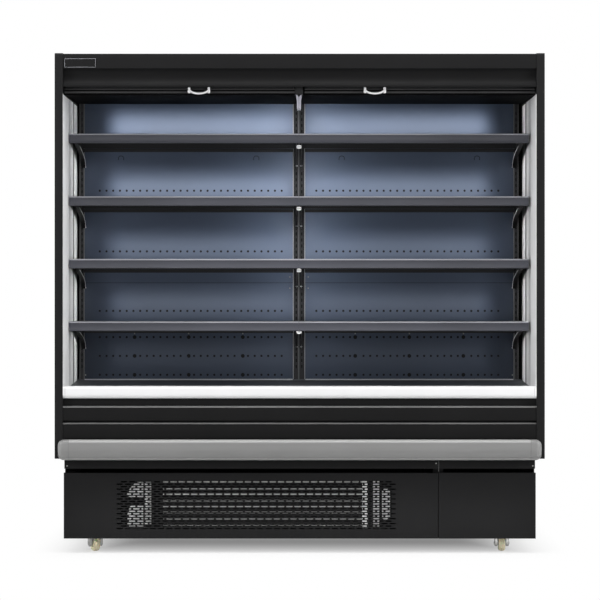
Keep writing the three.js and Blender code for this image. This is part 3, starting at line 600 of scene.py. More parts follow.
def bumper_highlight():
    """Light strip along the bumper's upper round: painted highlight."""
    line = arc(BUMPER_LOW[1] + BUMPER_ROUND, BUMPER_HIGH[2] - BUMPER_ROUND,
               BUMPER_ROUND + 0.1 * MM, 0.93 * math.pi, 0.55 * math.pi, 6)
    end = BUMPER_JOINT - 2 * MM
    bm = bmesh.new()
    add_prism_x(bm, folded(line, 0.4 * MM), -end, end)
    finish_mesh("bumper_highlight", bm, BUMPER_HIGHLIGHT)


front_panel("upper_front_cover", "upper_front_panel")
front_panel("lower_front_cover", "lower_front_panel")
fascia()
blank_plate()
bumper()
bumper_cap("left")
bumper_cap("right")
bumper_highlight()
nose()


# Uprights and back

SLOT_PITCH = 25.4 * MM
SLOT_LENGTH, SLOT_WIDTH = 16 * MM, 5 * MM
FIRST_SLOT, LAST_SLOT = 723.6 * MM, 1800 * MM


def upright(name, node, columns, edge_highlight):
    """Slotted channel with every slot, its edges folded round and drawn lighter: painted
    highlight.
    """
    low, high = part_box(node)
    centre = (low[0] + high[0]) / 2
    face, back = low[1], high[1]
    wall = 1.6 * MM
    edge = 3.4 * MM
    count = 1 + int((LAST_SLOT - FIRST_SLOT) / SLOT_PITCH)
    holes = [long_hole(FIRST_SLOT + SLOT_PITCH * k, centre + dx, SLOT_LENGTH, SLOT_WIDTH)
             for dx in columns for k in range(count)]
    bm = bmesh.new()
    add_perforated(bm, ((low[2], low[0] + edge), (high[2], high[0] - edge)), holes, wall,
                   lambda u, v, d: (v, face + d, u))
    finish_mesh(name, bm, SHELF_BLACK, replaces=(node,))
    profile = [(edge, face), (0.8 * MM, face + 0.5 * MM), (0, face + 2.4 * MM), (0, back),
               (wall, back), (wall, face + 3 * MM), (edge, face + wall)]
    bm = bmesh.new()
    for inward, x in ((1, low[0]), (-1, high[0])):
        add_loft(bm, [[(x + inward * dx, y, z) for dx, y in profile] for z in (low[2], high[2])])
    finish_mesh(name + "_edges", bm, edge_highlight)


def centre_rib():
    """The seam between the centre upright's two slotted halves."""
    low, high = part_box("upright_centre")
    middle = (low[0] + high[0]) / 2
    bm = bmesh.new()
    add_box(bm, (middle - 4.5 * MM, low[1] - 1.2 * MM, low[2] + MM),
            (middle + 1.5 * MM, low[1] - 0.05 * MM, high[2] - MM))
    finish_mesh("upright_centre_rib", bm, RIB_GREY)


AIR_ROWS = tuple(z * MM for z in (1464.7, 1208.9, 958.1, 847.6, 768.4, 688.7))
AIR_COUNT = 28
AIR_PITCH = 28.4 * MM
AIR_RADIUS = 4.9 * MM
AIR_INWARD = 8.5 * MM
LARGE_ROWS = AIR_ROWS[3:]
LARGE_PITCH = 228 * MM
LARGE_RADIUS = 8.2 * MM
LARGE_CLEARANCE = 13 * MM
SEAM_Z = 1076.5 * MM
PANEL_RIVET = ((-1, 3), (0.2, 3), (1.0, 2.2), (1.3, 0.6))


def large_columns(middle):
    return [middle + i * LARGE_PITCH for i in (-1, 0, 1)]


def air_holes(middle):
    """Rows of small holes, with three large ones in each of the lower rows."""
    inward = math.copysign(AIR_INWARD, -middle)
    large = [(x, z) for z in LARGE_ROWS for x in large_columns(middle)]
    holes = [round_hole(x, z, LARGE_RADIUS, 14) for x, z in large]
    for z in AIR_ROWS:
        for k in range(AIR_COUNT):
            x = middle + (k - (AIR_COUNT - 1) / 2) * AIR_PITCH + inward
            if all(math.hypot(x - lx, z - lz) > LARGE_CLEARANCE for lx, lz in large):
                holes.append(round_hole(x, z, AIR_RADIUS, 8))
    return holes


def rear_panel(side):
    """Perforated back in two sheets that meet at a seam, before a black sheet of painted duct
    shade.
    """
    name = f"perforated_back_{side}"
    low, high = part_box(f"rear_panel_{side}")
    middle = (low[0] + high[0]) / 2
    face = low[1]
    half_gap = 0.8 * MM
    holes = air_holes(middle)
    bm = bmesh.new()
    for z0, z1 in ((low[2], SEAM_Z - half_gap), (SEAM_Z + half_gap, high[2])):
        inside = [hole for hole in holes if z0 < hole[0][1] < z1]
        add_perforated(bm, ((low[0], z0), (high[0], z1)), inside, 0.9 * MM,
                       lambda u, v, d: (u, face + d, v))
    finish_mesh(name, bm, REAR_BLUE, replaces=(f"rear_panel_{side}",))
    bm = bmesh.new()
    add_box(bm, (low[0] + MM, face + 4 * MM, low[2] + MM),
            (high[0] - MM, face + 6 * MM, high[2] - MM))
    finish_mesh(name + "_duct_shade_sheet", bm, BLACK_INSIDE)
    panel_tabs(name, middle, face)
    panel_rivets(name, low, high)


def panel_tabs(name, middle, face):
    """Two small lanced hoops near the panel's top."""
    reach, rise = 11 * MM, 8 * MM
    foot, shoulder = 1594 * MM, 1603 * MM
    bm = bmesh.new()
    for x in (middle - 285 * MM, middle + 285 * MM):
        crown = [(x + reach * u, shoulder + rise * v) for u, v in arc(0, 0, 1, 0, math.pi, 8)]
        hoop = [(x + reach, foot), *crown, (x - reach, foot)]
        add_tube(bm, [(u, face - 0.6 * MM, v) for u, v in hoop], 1.3 * MM, 6)
    finish_mesh(name + "_tabs", bm, BLACK_INSIDE)


def panel_rivets(name, low, high):
    """Rivets at the seam's inner end, the outer foot and under the shelves."""
    middle = (low[0] + high[0]) / 2
    inner, outer = (low[0], high[0]) if middle > 0 else (high[0], low[0])
    toward = math.copysign(1, middle)
    spots = [(inner + toward * 12 * MM, z * MM) for z in (1101, 1054)]
    spots.append((outer - toward * 4 * MM, 688 * MM))
    spots += [(x, 863 * MM) for x in large_columns(middle)]
    bm = bmesh.new()
    for x, z in spots:
        add_turned(bm, (x, low[1], z), TO_FRONT, placed(PANEL_RIVET), 10)
    finish_mesh(name + "_rivets", bm, ZINC)


upright("slotted_upright_left", "upright_left", (0.0,), JOINT_HIGHLIGHT)
upright("slotted_upright_right", "upright_right", (0.0,), JOINT_HIGHLIGHT)
upright("slotted_upright_centre", "upright_centre", (-11.5 * MM, 11.5 * MM), UPRIGHT_HIGHLIGHT)
centre_rib()
rear_panel("left")
rear_panel("right")


# Shelves

TICKET_HEAD = ((-0.1, -5), (-2.2, -6), (-1.4, -9))
TICKET_FOOT = ((-1.6, 7), (-3.2, 4), (-2.4, 0.5), (-0.1, 0.5))
TICKET_LIP = ((-0.1, -4.6), (-2.6, -4.6), (-2.4, -1.5), (-0.9, 0.1), (3, 0.4), (3, 0.1),
              (-0.1, 0))
ARM_CURVE = ((-106, 14), (-60, 3), (0, -6), (60, -14), (105, -20), (150, -27), (191, -34),
             (230, -43), (258, -53), (274, -64), (285, -80))
ARM_WALL = 3 * MM
HOOK_RIVET = ((-3, 3.6), (2, 3.6), (3.4, 2.2))
CLIP_SCREW = ((-1, 1.7), (0.4, 1.7), (0.8, 1.1))


def ticket_strip(side, level):
    """Price-ticket rail clipped to a shelf's front edge, with a lighter top lip: painted
    highlight.
    """
    name = f"ticket_strip_{side}_{level}"
    low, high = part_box(f"shelf_{side}_{level}")
    face = low[1]
    x0, x1 = low[0] + 0.4 * MM, high[0] - 0.4 * MM
    bm = bmesh.new()
    add_prism_x(bm, placed(TICKET_HEAD, face, high[2]) + placed(TICKET_FOOT, face, low[2]), x0, x1)
    finish_mesh(name, bm, TICKET_GREY)
    bm = bmesh.new()
    add_prism_x(bm, placed(TICKET_LIP, face, high[2]), x0, x1)
    finish_mesh(name + "_lip", bm, TICKET_HIGHLIGHT)


def rear_flange(side, level):
    """The shelf's rear edge, turned down between its brackets."""
    low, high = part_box(f"shelf_{side}_{level}")
    inset = 24 * MM
    drop = 13 * MM
    bm = bmesh.new()
    add_box(bm, (low[0] + inset, high[1] - 2 * MM, low[2] - drop),
            (high[0] - inset, high[1] - 0.8 * MM, low[2] + MM))
    finish_mesh(f"shelf_flange_{side}_{level}", bm, SHELF_BLACK)


def hook_end(bm, x, z):
    """The bright rivet at the lower end of a bracket's hooks."""
    add_turned(bm, (x, 287 * MM, z), TO_FRONT, placed(HOOK_RIVET))


def end_bracket(side, level):
    """Shelf arm: a plate with a curved lower edge, turned in along that edge, its two
    hooks and its seat under the shelf."""
    node = f"bracket_{side}_{level}"
    low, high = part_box(node)
    shelf_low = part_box(f"shelf_{side}_{level}")[0][2]
    outer, toward = (low[0], 1) if side == "left" else (high[0], -1)
    curve = placed(ARM_CURVE, 0.0, shelf_low)
    front, rear, top = curve[0][0], curve[-1][0], high[2]
    bm = bmesh.new()
    add_prism_x(bm, [*curve, (rear, top), (front, top)], outer, outer + toward * ARM_WALL)
    for drop in (19 * MM, 45 * MM):
        z = shelf_low - drop
        add_box(bm, (outer, rear + 5 * MM, z - 7 * MM),
                (outer + toward * ARM_WALL, high[1], z + 7 * MM))
    add_box(bm, (outer, front + 28 * MM, top - 2 * MM), (outer + toward * 11 * MM, 260 * MM, top))
    add_prism_x(bm, folded(curve, 1.6 * MM), outer + toward * 2.5 * MM, outer + toward * 17 * MM)
    finish_mesh(f"shelf_arm_{side}_{level}", bm, BLACK_SATIN, replaces=(node,))
    # Light tube along the turned-in edge: painted highlight. The hook's rivet shares its grey.
    highlight_run = curve[2:]
    bm = bmesh.new()
    add_tube(bm, [(outer + toward * 17.6 * MM, y, z + 0.8 * MM) for y, z in highlight_run], MM, 6)
    hook_end(bm, outer + toward * 16 * MM, shelf_low - 76 * MM)
    finish_mesh(f"shelf_arm_edge_{side}_{level}", bm, ARM_HIGHLIGHT)


def joiner_clip(level):
    """Light oval plate with two screws across the centre brackets, over their hooks."""
    low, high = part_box(f"bracket_pair_{level}")
    shelf_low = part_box(f"shelf_left_{level}")[0]
    centre = (low[0] + high[0]) / 2
    y = shelf_low[1] + 156 * MM
    z = shelf_low[2] - 6 * MM
    face = y - 2.6 * MM
    bm = bmesh.new()
    add_prism_y(bm, oval(centre, z, 12.5 * MM, 7.8 * MM, 28), face, y - 0.2 * MM)
    soften(bm, 0.6 * MM)
    finish_mesh(f"joiner_clip_{level}", bm, CLIP_GREY)
    bm = bmesh.new()
    for x in (centre - 4.2 * MM, centre + 4.2 * MM):
        add_turned(bm, (x, face, z), TO_FRONT, placed(CLIP_SCREW))
    finish_mesh(f"joiner_screws_{level}", bm, PLASTIC_BLACK)
    bm = bmesh.new()
    for x in (centre - 10.5 * MM, centre + 10.5 * MM):
        hook_end(bm, x, shelf_low[2] - 71 * MM)
    finish_mesh(f"hook_rivets_pair_{level}", bm, CLIP_GREY)


def deck_lip():
    """The light edge where the deck meets the back: painted highlight of the flange's top."""
    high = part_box("deck_pan")[1]
    rear = high[1] - 2 * MM
    bm = bmesh.new()
    for x0, x1 in ((-906, -30), (24, 900)):
        add_box(bm, (x0 * MM, rear - 1.6 * MM, high[2] - 3 * MM),
                (x1 * MM, rear, high[2] + 1.5 * MM))
    finish_mesh("deck_rear_edge", bm, DECK_HIGHLIGHT)


def liner_band(name, side, start, end, proud, material):
    """An upright band on a side liner, from start to end behind the cabinet's front."""
    low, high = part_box(f"side_liner_{side}")
    face, inward = (low[0], -1) if side == "right" else (high[0], 1)
    bm = bmesh.new()
    add_box(bm, (face + inward * proud, FRONT_Y + start, low[2] + MM),
            (face - inward * 0.2 * MM, FRONT_Y + end, high[2] - MM))
    finish_mesh(f"liner_{name}_{side}", bm, material)


for shelf_side in SIDES:
    for shelf_level in LEVELS:
        ticket_strip(shelf_side, shelf_level)
        rear_flange(shelf_side, shelf_level)
        end_bracket(shelf_side, shelf_level)
for shelf_level in LEVELS:
    joiner_clip(shelf_level)
deck_lip()
for liner_side in SIDES:
    liner_band("field", liner_side, 273 * MM, 446 * MM, 0.35 * MM, LINER_MID)
    # The dark strip in the groove is painted shade of the recess.
    liner_band("groove", liner_side, 447 * MM, 508 * MM, 0.3 * MM, LINER_GROOVE_SHADE)


# Night blinds

CURTAIN_TOP = 1882 * MM
CLOTH_Y = -323 * MM
CLOTH_HALF = 0.4 * MM
BAR_FRONT, BAR_REAR = -330 * MM, -316 * MM
BAR_FOOT, BAR_TOP = 1838.5 * MM, 1844 * MM
SKIRT_FOOT, SKIRT_TOP = 1825.5 * MM, 1832 * MM
HANDLE_X = {"left": -399.5 * MM, "right": 298 * MM}
HANDLE_HALF = 39 * MM
HANDLE_SAG = 18.5 * MM
HANDLE_Y, HANDLE_Z = -335 * MM, 1841.5 * MM
POST_TOP = 1848 * MM
POST = ((0, 2.5), (1, 4.6), (4, 5.4), (8, 4.4), (12, 5.6), (18, 6.0), (22, 4.8), (24, 2.0))


def pull_bar(side):
    """The blind's lower bar, round at its front, with a skirt below it on a web."""
    node = f"blind_bar_{side}"
    body = f"blind_{side}"
    low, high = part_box(node)
    r = 3 * MM
    section = [(BAR_REAR - MM, BAR_FOOT), (BAR_REAR, BAR_FOOT + 1.5 * MM), (BAR_REAR, BAR_TOP),
               *arc(BAR_FRONT + r, BAR_TOP - r, r, math.pi / 2, math.pi, 4),
               *arc(BAR_FRONT + r, BAR_FOOT + r, r, math.pi, 1.5 * math.pi, 4)]
    bm = bmesh.new()
    add_prism_x(bm, section, low[0], high[0])
    finish_mesh(f"pull_bar_{side}", bm, PULL_BLACK, body, replaces=(node,))
    bm = bmesh.new()
    add_box(bm, (low[0], BAR_REAR - 8 * MM, SKIRT_FOOT), (high[0], BAR_REAR - 2 * MM, SKIRT_TOP))
    soften(bm, 0.8 * MM)
    finish_mesh(f"pull_bar_skirt_{side}", bm, PULL_BLACK, body)
    bm = bmesh.new()
    add_box(bm, (low[0] + MM, BAR_REAR - 2 * MM, SKIRT_FOOT + 0.5 * MM),
            (high[0] - MM, BAR_REAR - 0.4 * MM, BAR_FOOT + 0.5 * MM))
    finish_mesh(f"pull_bar_web_{side}", bm, CEILING_BLACK, body)


def pull_handle(side):
    """White handle: a curved bar between two turned posts."""
    centre = HANDLE_X[side]
    bm = bmesh.new()
    for x in (centre - HANDLE_HALF, centre + HANDLE_HALF):
        add_turned(bm, (x, HANDLE_Y + MM, POST_TOP), (0, 0, -1), placed(POST), 16)
    bow = arc(0, 0, 1, -11 * math.pi / 12, -math.pi / 12, 20)
    add_tube(bm, [(centre + HANDLE_HALF * u, HANDLE_Y, HANDLE_Z + HANDLE_SAG * v)
                  for u, v in bow], 3.9 * MM)
    finish_mesh(f"pull_handle_{side}", bm, WHITE_PART, f"blind_{side}")


def cloth(side):
    """The cloth as it hangs from the roller's front to the bar."""
    low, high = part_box(f"blind_curtain_{side}")
    width = high[0] - low[0]
    height = CURTAIN_TOP - BAR_TOP
    clearance = 0.3 * MM
    rows, columns = 4, 24
    across = [low[0] + width * c / columns for c in range(columns + 1)]
    rings = []
    for r in range(rows + 1):
        z = BAR_TOP + clearance + (height - clearance) * r / rows
        rings.append([(x, CLOTH_Y - CLOTH_HALF, z) for x in across]
                     + [(x, CLOTH_Y + CLOTH_HALF, z) for x in reversed(across)])
    bm = bmesh.new()
    add_loft(bm, rings)
    piece = finish_mesh(f"cloth_{side}", bm, SHADED_CLOTH, None,
                        replaces=(f"blind_curtain_{side}",))
    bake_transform(piece)


GUIDE_OUTLINE = ((0.8, 1764), (3.5, 1759.5), (5.5, 1759.5), (8, 1768), (8.4, 1800),
                 (11.5, 1814), (11.5, 1819), (7, 1818), (0.8, 1811))


def centre_guides():
    """White guide pair for the inner ends of the two bars."""
    low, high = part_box("blind_guide")
    middle = (low[0] + high[0]) / 2
    bm = bmesh.new()
    for sign in (-1, 1):
        outline = [(middle + sign * u, v) for u, v in placed(GUIDE_OUTLINE)]
        add_prism_y(bm, outline, low[1] + 2 * MM, high[1] - 2 * MM)
    soften(bm, 0.8 * MM, 45)
    finish_mesh("centre_guides", bm, GUIDE_GREY, replaces=("blind_guide",))


def roller_carrier():
    """Dark block between the rollers' inner ends, above the guides."""
    low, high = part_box("blind_guide")
    middle = (low[0] + high[0]) / 2
    x0, x1 = middle - 16 * MM, middle + 16 * MM
    bm = bmesh.new()
    add_box(bm, (x0, low[1] + MM, 1820 * MM), (x1, high[1], 1844 * MM))
    add_box(bm, (x0, low[1] + MM, 1844.5 * MM), (x1, high[1] + 5 * MM, high[2]))
    finish_mesh("roller_carrier", bm, BLACK_INSIDE)


for blind_side in SIDES:
    pull_bar(blind_side)
    pull_handle(blind_side)
    cloth(blind_side)
centre_guides()
roller_carrier()


# Base

VENT_ROWS = 20
VENT_PITCH_X, VENT_PITCH_Z = 32.8 * MM, 9.75 * MM
VENT_TOP = 283 * MM
VENT_LENGTH, VENT_HEIGHT = 26.5 * MM, 5.4 * MM
VENT_STARTS = ((-697.2 * MM, 33), (-713.6 * MM, 34))


def grille():
    """Front panel with a brick pattern of fine slots, and its folded-back rim."""
    low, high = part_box("grille_panel")
    holes = []
    for row in range(VENT_ROWS):
        z = VENT_TOP - VENT_PITCH_Z * row
        first, count = VENT_STARTS[row % 2]
        holes += [long_hole(first + VENT_PITCH_X * i, z, VENT_LENGTH, VENT_HEIGHT)
                  for i in range(count)]
    face, fold, wall = low[1], 3 * MM, 1.5 * MM
    bm = bmesh.new()
    add_perforated(bm, ((low[0] + fold, low[2] + fold), (high[0] - fold, high[2] - fold)), holes,
                   wall, lambda u, v, d: (u, face + d, v))
    finish_mesh("vent_face", bm, BLACK, replaces=("grille_panel",))
    profile = [(fold, face), (fold * 0.35, face + fold * 0.25), (0.0, face + fold),
               (0.0, high[1]), (wall, high[1]), (wall, face + fold), (fold, face + wall)]
    bm = bmesh.new()
    add_rim(bm, low, high, profile)
    finish_mesh("vent_edge", bm, BLACK)


def add_rim(bm, low, high, profile):
    """A closed profile of (inset, y) run round a rectangle."""
    loops = []
    for inset, y in profile:
        x0, x1 = low[0] + inset, high[0] - inset
        z0, z1 = low[2] + inset, high[2] - inset
        corners = ((x0, y, z0), (x1, y, z0), (x1, y, z1), (x0, y, z1))
        loops.append([bm.verts.new(p) for p in corners])
    for a, b in zip(loops, loops[1:] + loops[:1]):
        for k in range(4):
            j = (k + 1) % 4
            bm.faces.new((a[k], a[j], b[j], b[k]))


COIL_X = (-593 * MM, 292 * MM)
COIL_Y = (-300 * MM, -256 * MM)
COIL_Z = (96.3 * MM, 286 * MM)
TUBE_X = (-544 * MM, 262 * MM)
TUBE_ROWS = (279.5, 254, 229.7, 205.8, 180, 158, 130, 108)
FRONT_PLATE = ((249, 96.3), (249, 286), (270, 286), (270, 96.3))
REAR_PLATES = (
    ((-625, 217), (-625, 277), (-650, 277), (-658, 273), (-672, 258), (-686, 240), (-689, 229),
     (-689, 217)),
    ((-625, 96.3), (-625, 183), (-668, 183), (-678, 180), (-688, 153), (-688, 121), (-689, 101),
     (-689, 96.3)),
    ((-619, 108), (-619, 277), (-593, 277), (-593, 108)),
    ((293, 96.3), (293, 286), (318, 286), (318, 96.3)),
    ((329, 135), (329, 239), (337, 249), (353, 249), (361, 239), (361, 135), (353, 125),
     (337, 125)),
)
BAFFLE_BOXES = ((-928, -592, 97), (292, 536, 97), (-592, 292, 287))


def coil():
    """Condenser: shadowed fins, runs of tube and bright end plates, two cut to a curve."""
    x0, x1 = COIL_X
    y0, y1 = COIL_Y
    z0, z1 = COIL_Z
    bm = bmesh.new()
    add_box(bm, (x0 + 2 * MM, y0 + 9 * MM, z0 + MM), (x1 - 2 * MM, y1, z1 - MM))
    finish_mesh("coil_fins", bm, DARK_FIN, replaces=("condenser_coil",))
    bm = bmesh.new()
    for z in TUBE_ROWS:
        add_tube(bm, [(x, y0 + 6 * MM, z * MM) for x in TUBE_X], 3.6 * MM, 8)
    finish_mesh("coil_tubes", bm, COIL_TUBE)
    bm = bmesh.new()
    add_prism_y(bm, placed(FRONT_PLATE), y0, y0 + 2 * MM)
    for plate in REAR_PLATES:
        add_prism_y(bm, placed(plate), y1 - 3 * MM, y1 - MM)
    finish_mesh("coil_end_plates", bm, END_PLATE)


def air_baffles():
    """Dark sheets round the coil that keep the air going through it, near black as painted shadow.
    """
    bm = bmesh.new()
    for x0, x1, z0 in BAFFLE_BOXES:
        add_box(bm, (x0 * MM, -250 * MM, z0 * MM), (x1 * MM, -248 * MM, 316 * MM))
    finish_mesh("air_baffles", bm, DARK_FIN)


SHROUD_REAR = -196 * MM
FAN_X, FAN_Z = -150 * MM, 193 * MM
MOTOR = ((0, 32), (2, 34), (40, 34), (46, 30))


def shroud():
    """Black box behind the fins with a round opening for the fan."""
    x0, x1 = COIL_X
    z0, z1 = COIL_Z
    front, rear = COIL_Y[1], SHROUD_REAR
    wall = 2 * MM
    inner = rear - wall
    bm = bmesh.new()
    add_perforated(bm, ((x0, z0), (x1, z1)), [round_hole(FAN_X, FAN_Z, 88 * MM, 40)], wall,
                   lambda u, v, d: (u, rear - d, v))
    add_box(bm, (x0, front, z0), (x1, inner, z0 + wall))
    add_box(bm, (x0, front, z1 - wall), (x1, inner, z1))
    add_box(bm, (x0, front, z0 + wall), (x0 + wall, inner, z1 - wall))
    add_box(bm, (x1 - wall, front, z0 + wall), (x1, inner, z1 - wall))
    finish_mesh("fan_shroud", bm, BLACK)


def fan_motor():
    """The fan's motor behind its blades, on three arms."""
    bm = bmesh.new()
    add_turned(bm, (FAN_X, SHROUD_REAR, FAN_Z), TO_REAR, placed(MOTOR), 32)
    for turn in (math.pi / 2, math.pi * 7 / 6, math.pi * 11 / 6):
        arm = [(FAN_X + reach * math.cos(turn), SHROUD_REAR + 3 * MM,
                FAN_Z + reach * math.sin(turn)) for reach in (30 * MM, 92 * MM)]
        add_tube(bm, arm, 2.8 * MM, 8)
    finish_mesh("fan_motor", bm, PLASTIC_BLACK)


PAN_HEAD = ((-0.5, 1.0), (0.6, 1.0), (1.5, 0.75), (1.9, 0.3))
RAIL_Y = -349 * MM


def pan_head(bm, at, radius, facing):
    add_turned(bm, at, facing, [(along * MM, radius * share) for along, share in PAN_HEAD], 14)


def base_rail():
    """Screws and the joint of the rail over the base panels, and the panels' split."""
    bm = bmesh.new()
    for x, z in placed(((-921, 347), (540, 357), (923, 347))):
        pan_head(bm, (x, RAIL_Y, z), 2.8 * MM, TO_FRONT)
    finish_mesh("base_rail_screws", bm, ZINC)
    bm = bmesh.new()
    # The rail's joint is a thin light line: painted highlight of the rail ends.
    add_box(bm, (550.2 * MM, RAIL_Y - 0.5 * MM, 326 * MM), (551.4 * MM, RAIL_Y + MM, 366 * MM))
    finish_mesh("base_rail_joint", bm, JOINT_HIGHLIGHT)
    low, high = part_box("access_panel")
    bm = bmesh.new()
    add_box(bm, (538 * MM, high[1] + 0.2 * MM, low[2] + MM),
            (563 * MM, high[1] + 1.2 * MM, 92 * MM))
    finish_mesh("panel_split_backing", bm, BLACK_INSIDE)


def rear_joints():
    """Cover strips over the joints of the cabinet's rear sheets, and their screws."""
    low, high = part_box("cabinet_body")
    face = high[1]
    proud = face + 1.5 * MM
    joints = (-312 * MM, 312 * MM)
    bottom, top = low[2] + 25 * MM, high[2] - 8 * MM
    hem = top - 24 * MM
    bm = bmesh.new()
    for x in joints:
        add_box(bm, (x - 18 * MM, face + 0.1 * MM, bottom), (x + 18 * MM, proud, hem))
    add_box(bm, (low[0] + 4 * MM, face + 0.1 * MM, hem + MM), (high[0] - 4 * MM, proud, top))
    soften(bm, 0.5 * MM)
    finish_mesh("rear_joint_strips", bm, BLACK_SATIN)
    base_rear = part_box("base_frame")[1][1]
    count = 8
    bm = bmesh.new()
    for k in range(count):
        z = bottom + (hem - bottom) / count * (k + 0.5)
        offset = k - (count - 1) / 2
        spots = [(x, proud, z) for x in joints]
        spots += [(offset * 250 * MM, proud, (hem + top) / 2),
                  (offset * 245 * MM, base_rear, 352 * MM)]
        for spot in spots:
            pan_head(bm, spot, 4 * MM, TO_REAR)
    finish_mesh("rear_screws", bm, ZINC)


grille()
coil()
air_baffles()
shroud()
fan_motor()
base_rail()
rear_joints()


# Casters

TREAD_HALF = ((-13.8, 8), (-13.8, 14), (-11.8, 15), (-11.8, 21), (-13.8, 22.5), (-13.2, 25.5),
              (-11.4, 28.3), (-8.3, 30.3), (-4.3, 31.2))
AXLE_NUT = ((28, 6), (30, 6), (31, 4))
COVER_RINGS = ((17.8, 1.0), (25.5, 1.0), (28.5, 0.8))


def caster(spot):
    """Crowned nylon wheel, and the covers over the fork's cheeks. The front left one
    is turned, as in the photo."""
    low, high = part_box(f"caster_wheel_{spot}")
    centre = (Vector(low) + Vector(high)) / 2
    swivel = math.radians(25) if spot == "front_left" else 0.0
    axle = Vector((math.cos(swivel), math.sin(swivel), 0))
    tread = placed(TREAD_HALF)
    tread += [(-along, radius) for along, radius in reversed(tread)]
    bm = bmesh.new()
    add_turned(bm, centre, axle, tread, 48)
    finish_mesh(f"tread_{spot}", bm, NYLON, f"wheel_{spot}",
                replaces=(f"caster_wheel_{spot}",))
    bm = bmesh.new()
    add_cheek_cover(bm, centre, -axle)
    add_cheek_cover(bm, centre, axle)
    finish_mesh(f"fork_covers_{spot}", bm, ZINC, f"fork_{spot}")


def add_cheek_cover(bm, centre, outward):
    """Pressed cover over a fork cheek, round at its lower end, with the axle's nut."""
    forward = Vector((0, 0, 1)).cross(outward)
    rise = 40 * MM
    reach = 13 * MM
    neck = reach * 0.8
    outline = [*arc(0, 0, reach, math.pi, 2 * math.pi, 10), (neck, rise), (-neck, rise)]
    rings = []
    for along, size in COVER_RINGS:
        middle = centre + outward * (along * MM)
        rings.append([middle + forward * (u * size) + Vector((0, 0, v * size))
                      for u, v in outline])
    add_loft(bm, rings)
    add_turned(bm, centre, outward, placed(AXLE_NUT))


for caster_spot in CASTERS:
    caster(caster_spot)


# Studio

WHITE = (1, 1, 1, 1)
ROOM_LOW = (0.5, 0.5, 0.5, 1)
ROOM_STRENGTH = 0.2
BAY_LIGHTS = ((1.735, 0.38), (1.475, 0.25), (1.22, 0.145), (0.985, 0.13), (0.77, 0.05))
BAY_SHARES = ((-1, 1.05), (1, 0.9))
CENTRE_LIGHTS = ((1.74, 0.28), (1.50, 0.3), (1.25, 0.3), (1.0, 0.24), (0.79, 0.12))
BACK_Y = 0.295
BAY_X, BAY_Y = 0.41, 0.10
LINER_Z = 1.26


def world():
    """White where it is seen; as light, a dim room that is brighter above."""
    made = bpy.data.worlds.new("studio")
    bpy.context.scene.world = made
    made.use_nodes = True
    made.node_tree.nodes.clear()
    tree = Tree(made.node_tree)
    background = tree.node("Background", Color=WHITE)
    room = tree.node("Background", Strength=ROOM_STRENGTH)
    lift = tree.node("MapRange", From_Min=-1.0)
    ramp = tree.node("ValToRGB")
    ramp.color_ramp.elements[0].color = ROOM_LOW
    tree.link(tree.axes("Generated")["Z"], lift.inputs["Value"])
    tree.link(lift.outputs["Result"], ramp.inputs["Fac"])
    tree.link(ramp.outputs["Color"], room.inputs["Color"])
    mix = tree.mix(tree.background_rays(), room, background)
    output = tree.node("OutputWorld")
    tree.link(mix.outputs[0], output.inputs["Surface"])


def area(name, at, target, size, power, spread=180, glossy=True):
    light = bpy.data.lights.new(name, "AREA")
    light.energy = power
    light.shape = "RECTANGLE"
    light.size, light.size_y = size
    light.spread = math.radians(spread)
    lamp = bpy.data.objects.new(name, light)
    lamp.location = at
    lamp.rotation_euler = (Vector(target) - Vector(at)).to_track_quat("-Z", "Y").to_euler()
    bpy.context.scene.collection.objects.link(lamp)
    lamp.visible_camera = False
    lamp.visible_glossy = glossy


def room_lights():
    area("front_softbox", (0.0, -6.0, 3.1), (0.0, 0.0, 1.3), (5.0, 1.3), 42.0)
    area("overhead", (0.0, -1.4, 4.4), (0.0, -0.3, 0.9), (3.4, 1.4), 130.0)
    area("rear_softbox", (0.0, 6.0, 2.8), (0.0, 0.3, 1.0), (4.5, 1.5), 70.0)
    for sign, power in ((-1, 135.0), (1, 155.0)):
        area(f"side_softbox_{sign + 1}", (sign * 4.4, -2.1, 1.95), (-sign * 0.9, -0.2, 1.2),
             (1.4, 2.4), power)


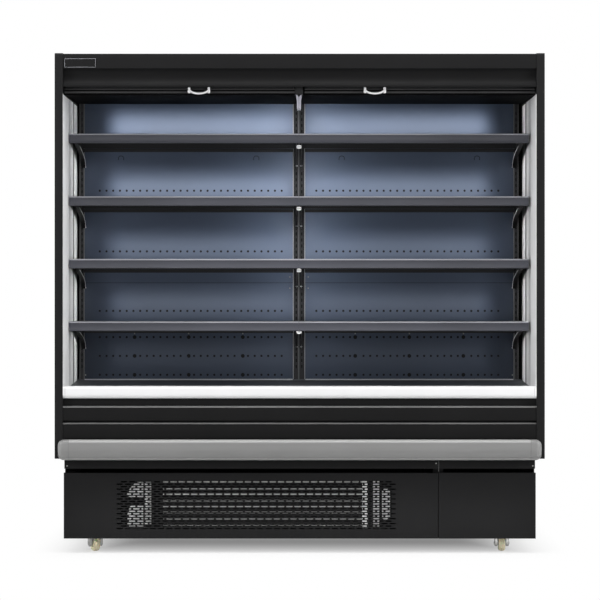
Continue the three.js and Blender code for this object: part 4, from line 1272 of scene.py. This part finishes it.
def cabinet_lights():
    """Low light in the bays and on the liners, coil, centre and base."""
    for sign, share in BAY_SHARES:
        for height, power in BAY_LIGHTS:
            area(f"bay_light_{sign + 1}_{height:.2f}", (sign * BAY_X, BAY_Y, height),
                 (sign * BAY_X, BACK_Y, height), (0.76, 0.08), power * share, 44, False)
        area(f"liner_light_{sign + 1}", (sign * 0.42, -0.07, LINER_Z),
             (sign * 0.938, 0.13, LINER_Z), (0.05, 1.12), 1.0, 40, False)
    area("coil_light", (-0.155, -0.309, 0.19), (-0.155, 0.0, 0.19), (1.1, 0.2), 0.14,
         glossy=False)
    for height, power in CENTRE_LIGHTS:
        area(f"centre_light_{height:.2f}", (-0.003, -0.09, height), (-0.003, BACK_Y, height),
             (0.03, 0.12), power, 110, False)
    area("floor_bounce", (0.0, -0.8, 0.03), (0.0, -0.33, 0.16), (1.9, 0.06), 0.5, 50)


def floor_material():
    """Pale floor that keeps the object's shadow and turns plain white away from it."""
    made = bpy.data.materials.new("floor_white")
    made.use_nodes = True
    made.node_tree.nodes.clear()
    tree = Tree(made.node_tree)
    x, y, _ = tree.axes("Object")
    beside = tree.fade(tree.math("ABSOLUTE", x), 0.64, 1.1)
    behind = tree.fade(y, 0.3, 1.2)
    before = tree.fade(y, 0.2, -0.75)
    away = tree.math("MAXIMUM", tree.math("MAXIMUM", beside, behind), before)
    # Under and round the cabinet a share of plain white stays in the shadow: painted light that
    # lifts the shadow and fades it out.
    seen = tree.math("MULTIPLY", tree.rescale(away, 0.22, 1.0), tree.background_rays())
    plain = tree.node("Emission", Color=WHITE)
    lit = tree.node("BsdfDiffuse", Color=(0.8, 0.8, 0.8, 1))
    mix = tree.mix(seen, lit, plain)
    output = tree.node("OutputMaterial")
    tree.link(mix.outputs[0], output.inputs["Surface"])
    return made


def floor():
    half = 14.0
    corners = ((-half, -half, 0), (half, -half, 0), (half, half, 0), (-half, half, 0))
    mesh = bpy.data.meshes.new("floor")
    mesh.from_pydata(corners, [], [(0, 1, 2, 3)])
    mesh.materials.append(floor_material())
    ground = bpy.data.objects.new("floor", mesh)
    bpy.context.scene.collection.objects.link(ground)


def camera():
    eye = bpy.data.cameras.new("eye")
    eye.lens = 151.6
    eye.sensor_width = 36.0
    seat = bpy.data.objects.new("eye", eye)
    seat.location = (0.0012, -10.355, 1.004)
    seat.rotation_euler = (math.pi / 2, 0, 0)
    bpy.context.scene.collection.objects.link(seat)
    bpy.context.scene.camera = seat


world()
room_lights()
cabinet_lights()
floor()
camera()

bpy.context.scene.view_settings.view_transform = "Standard"
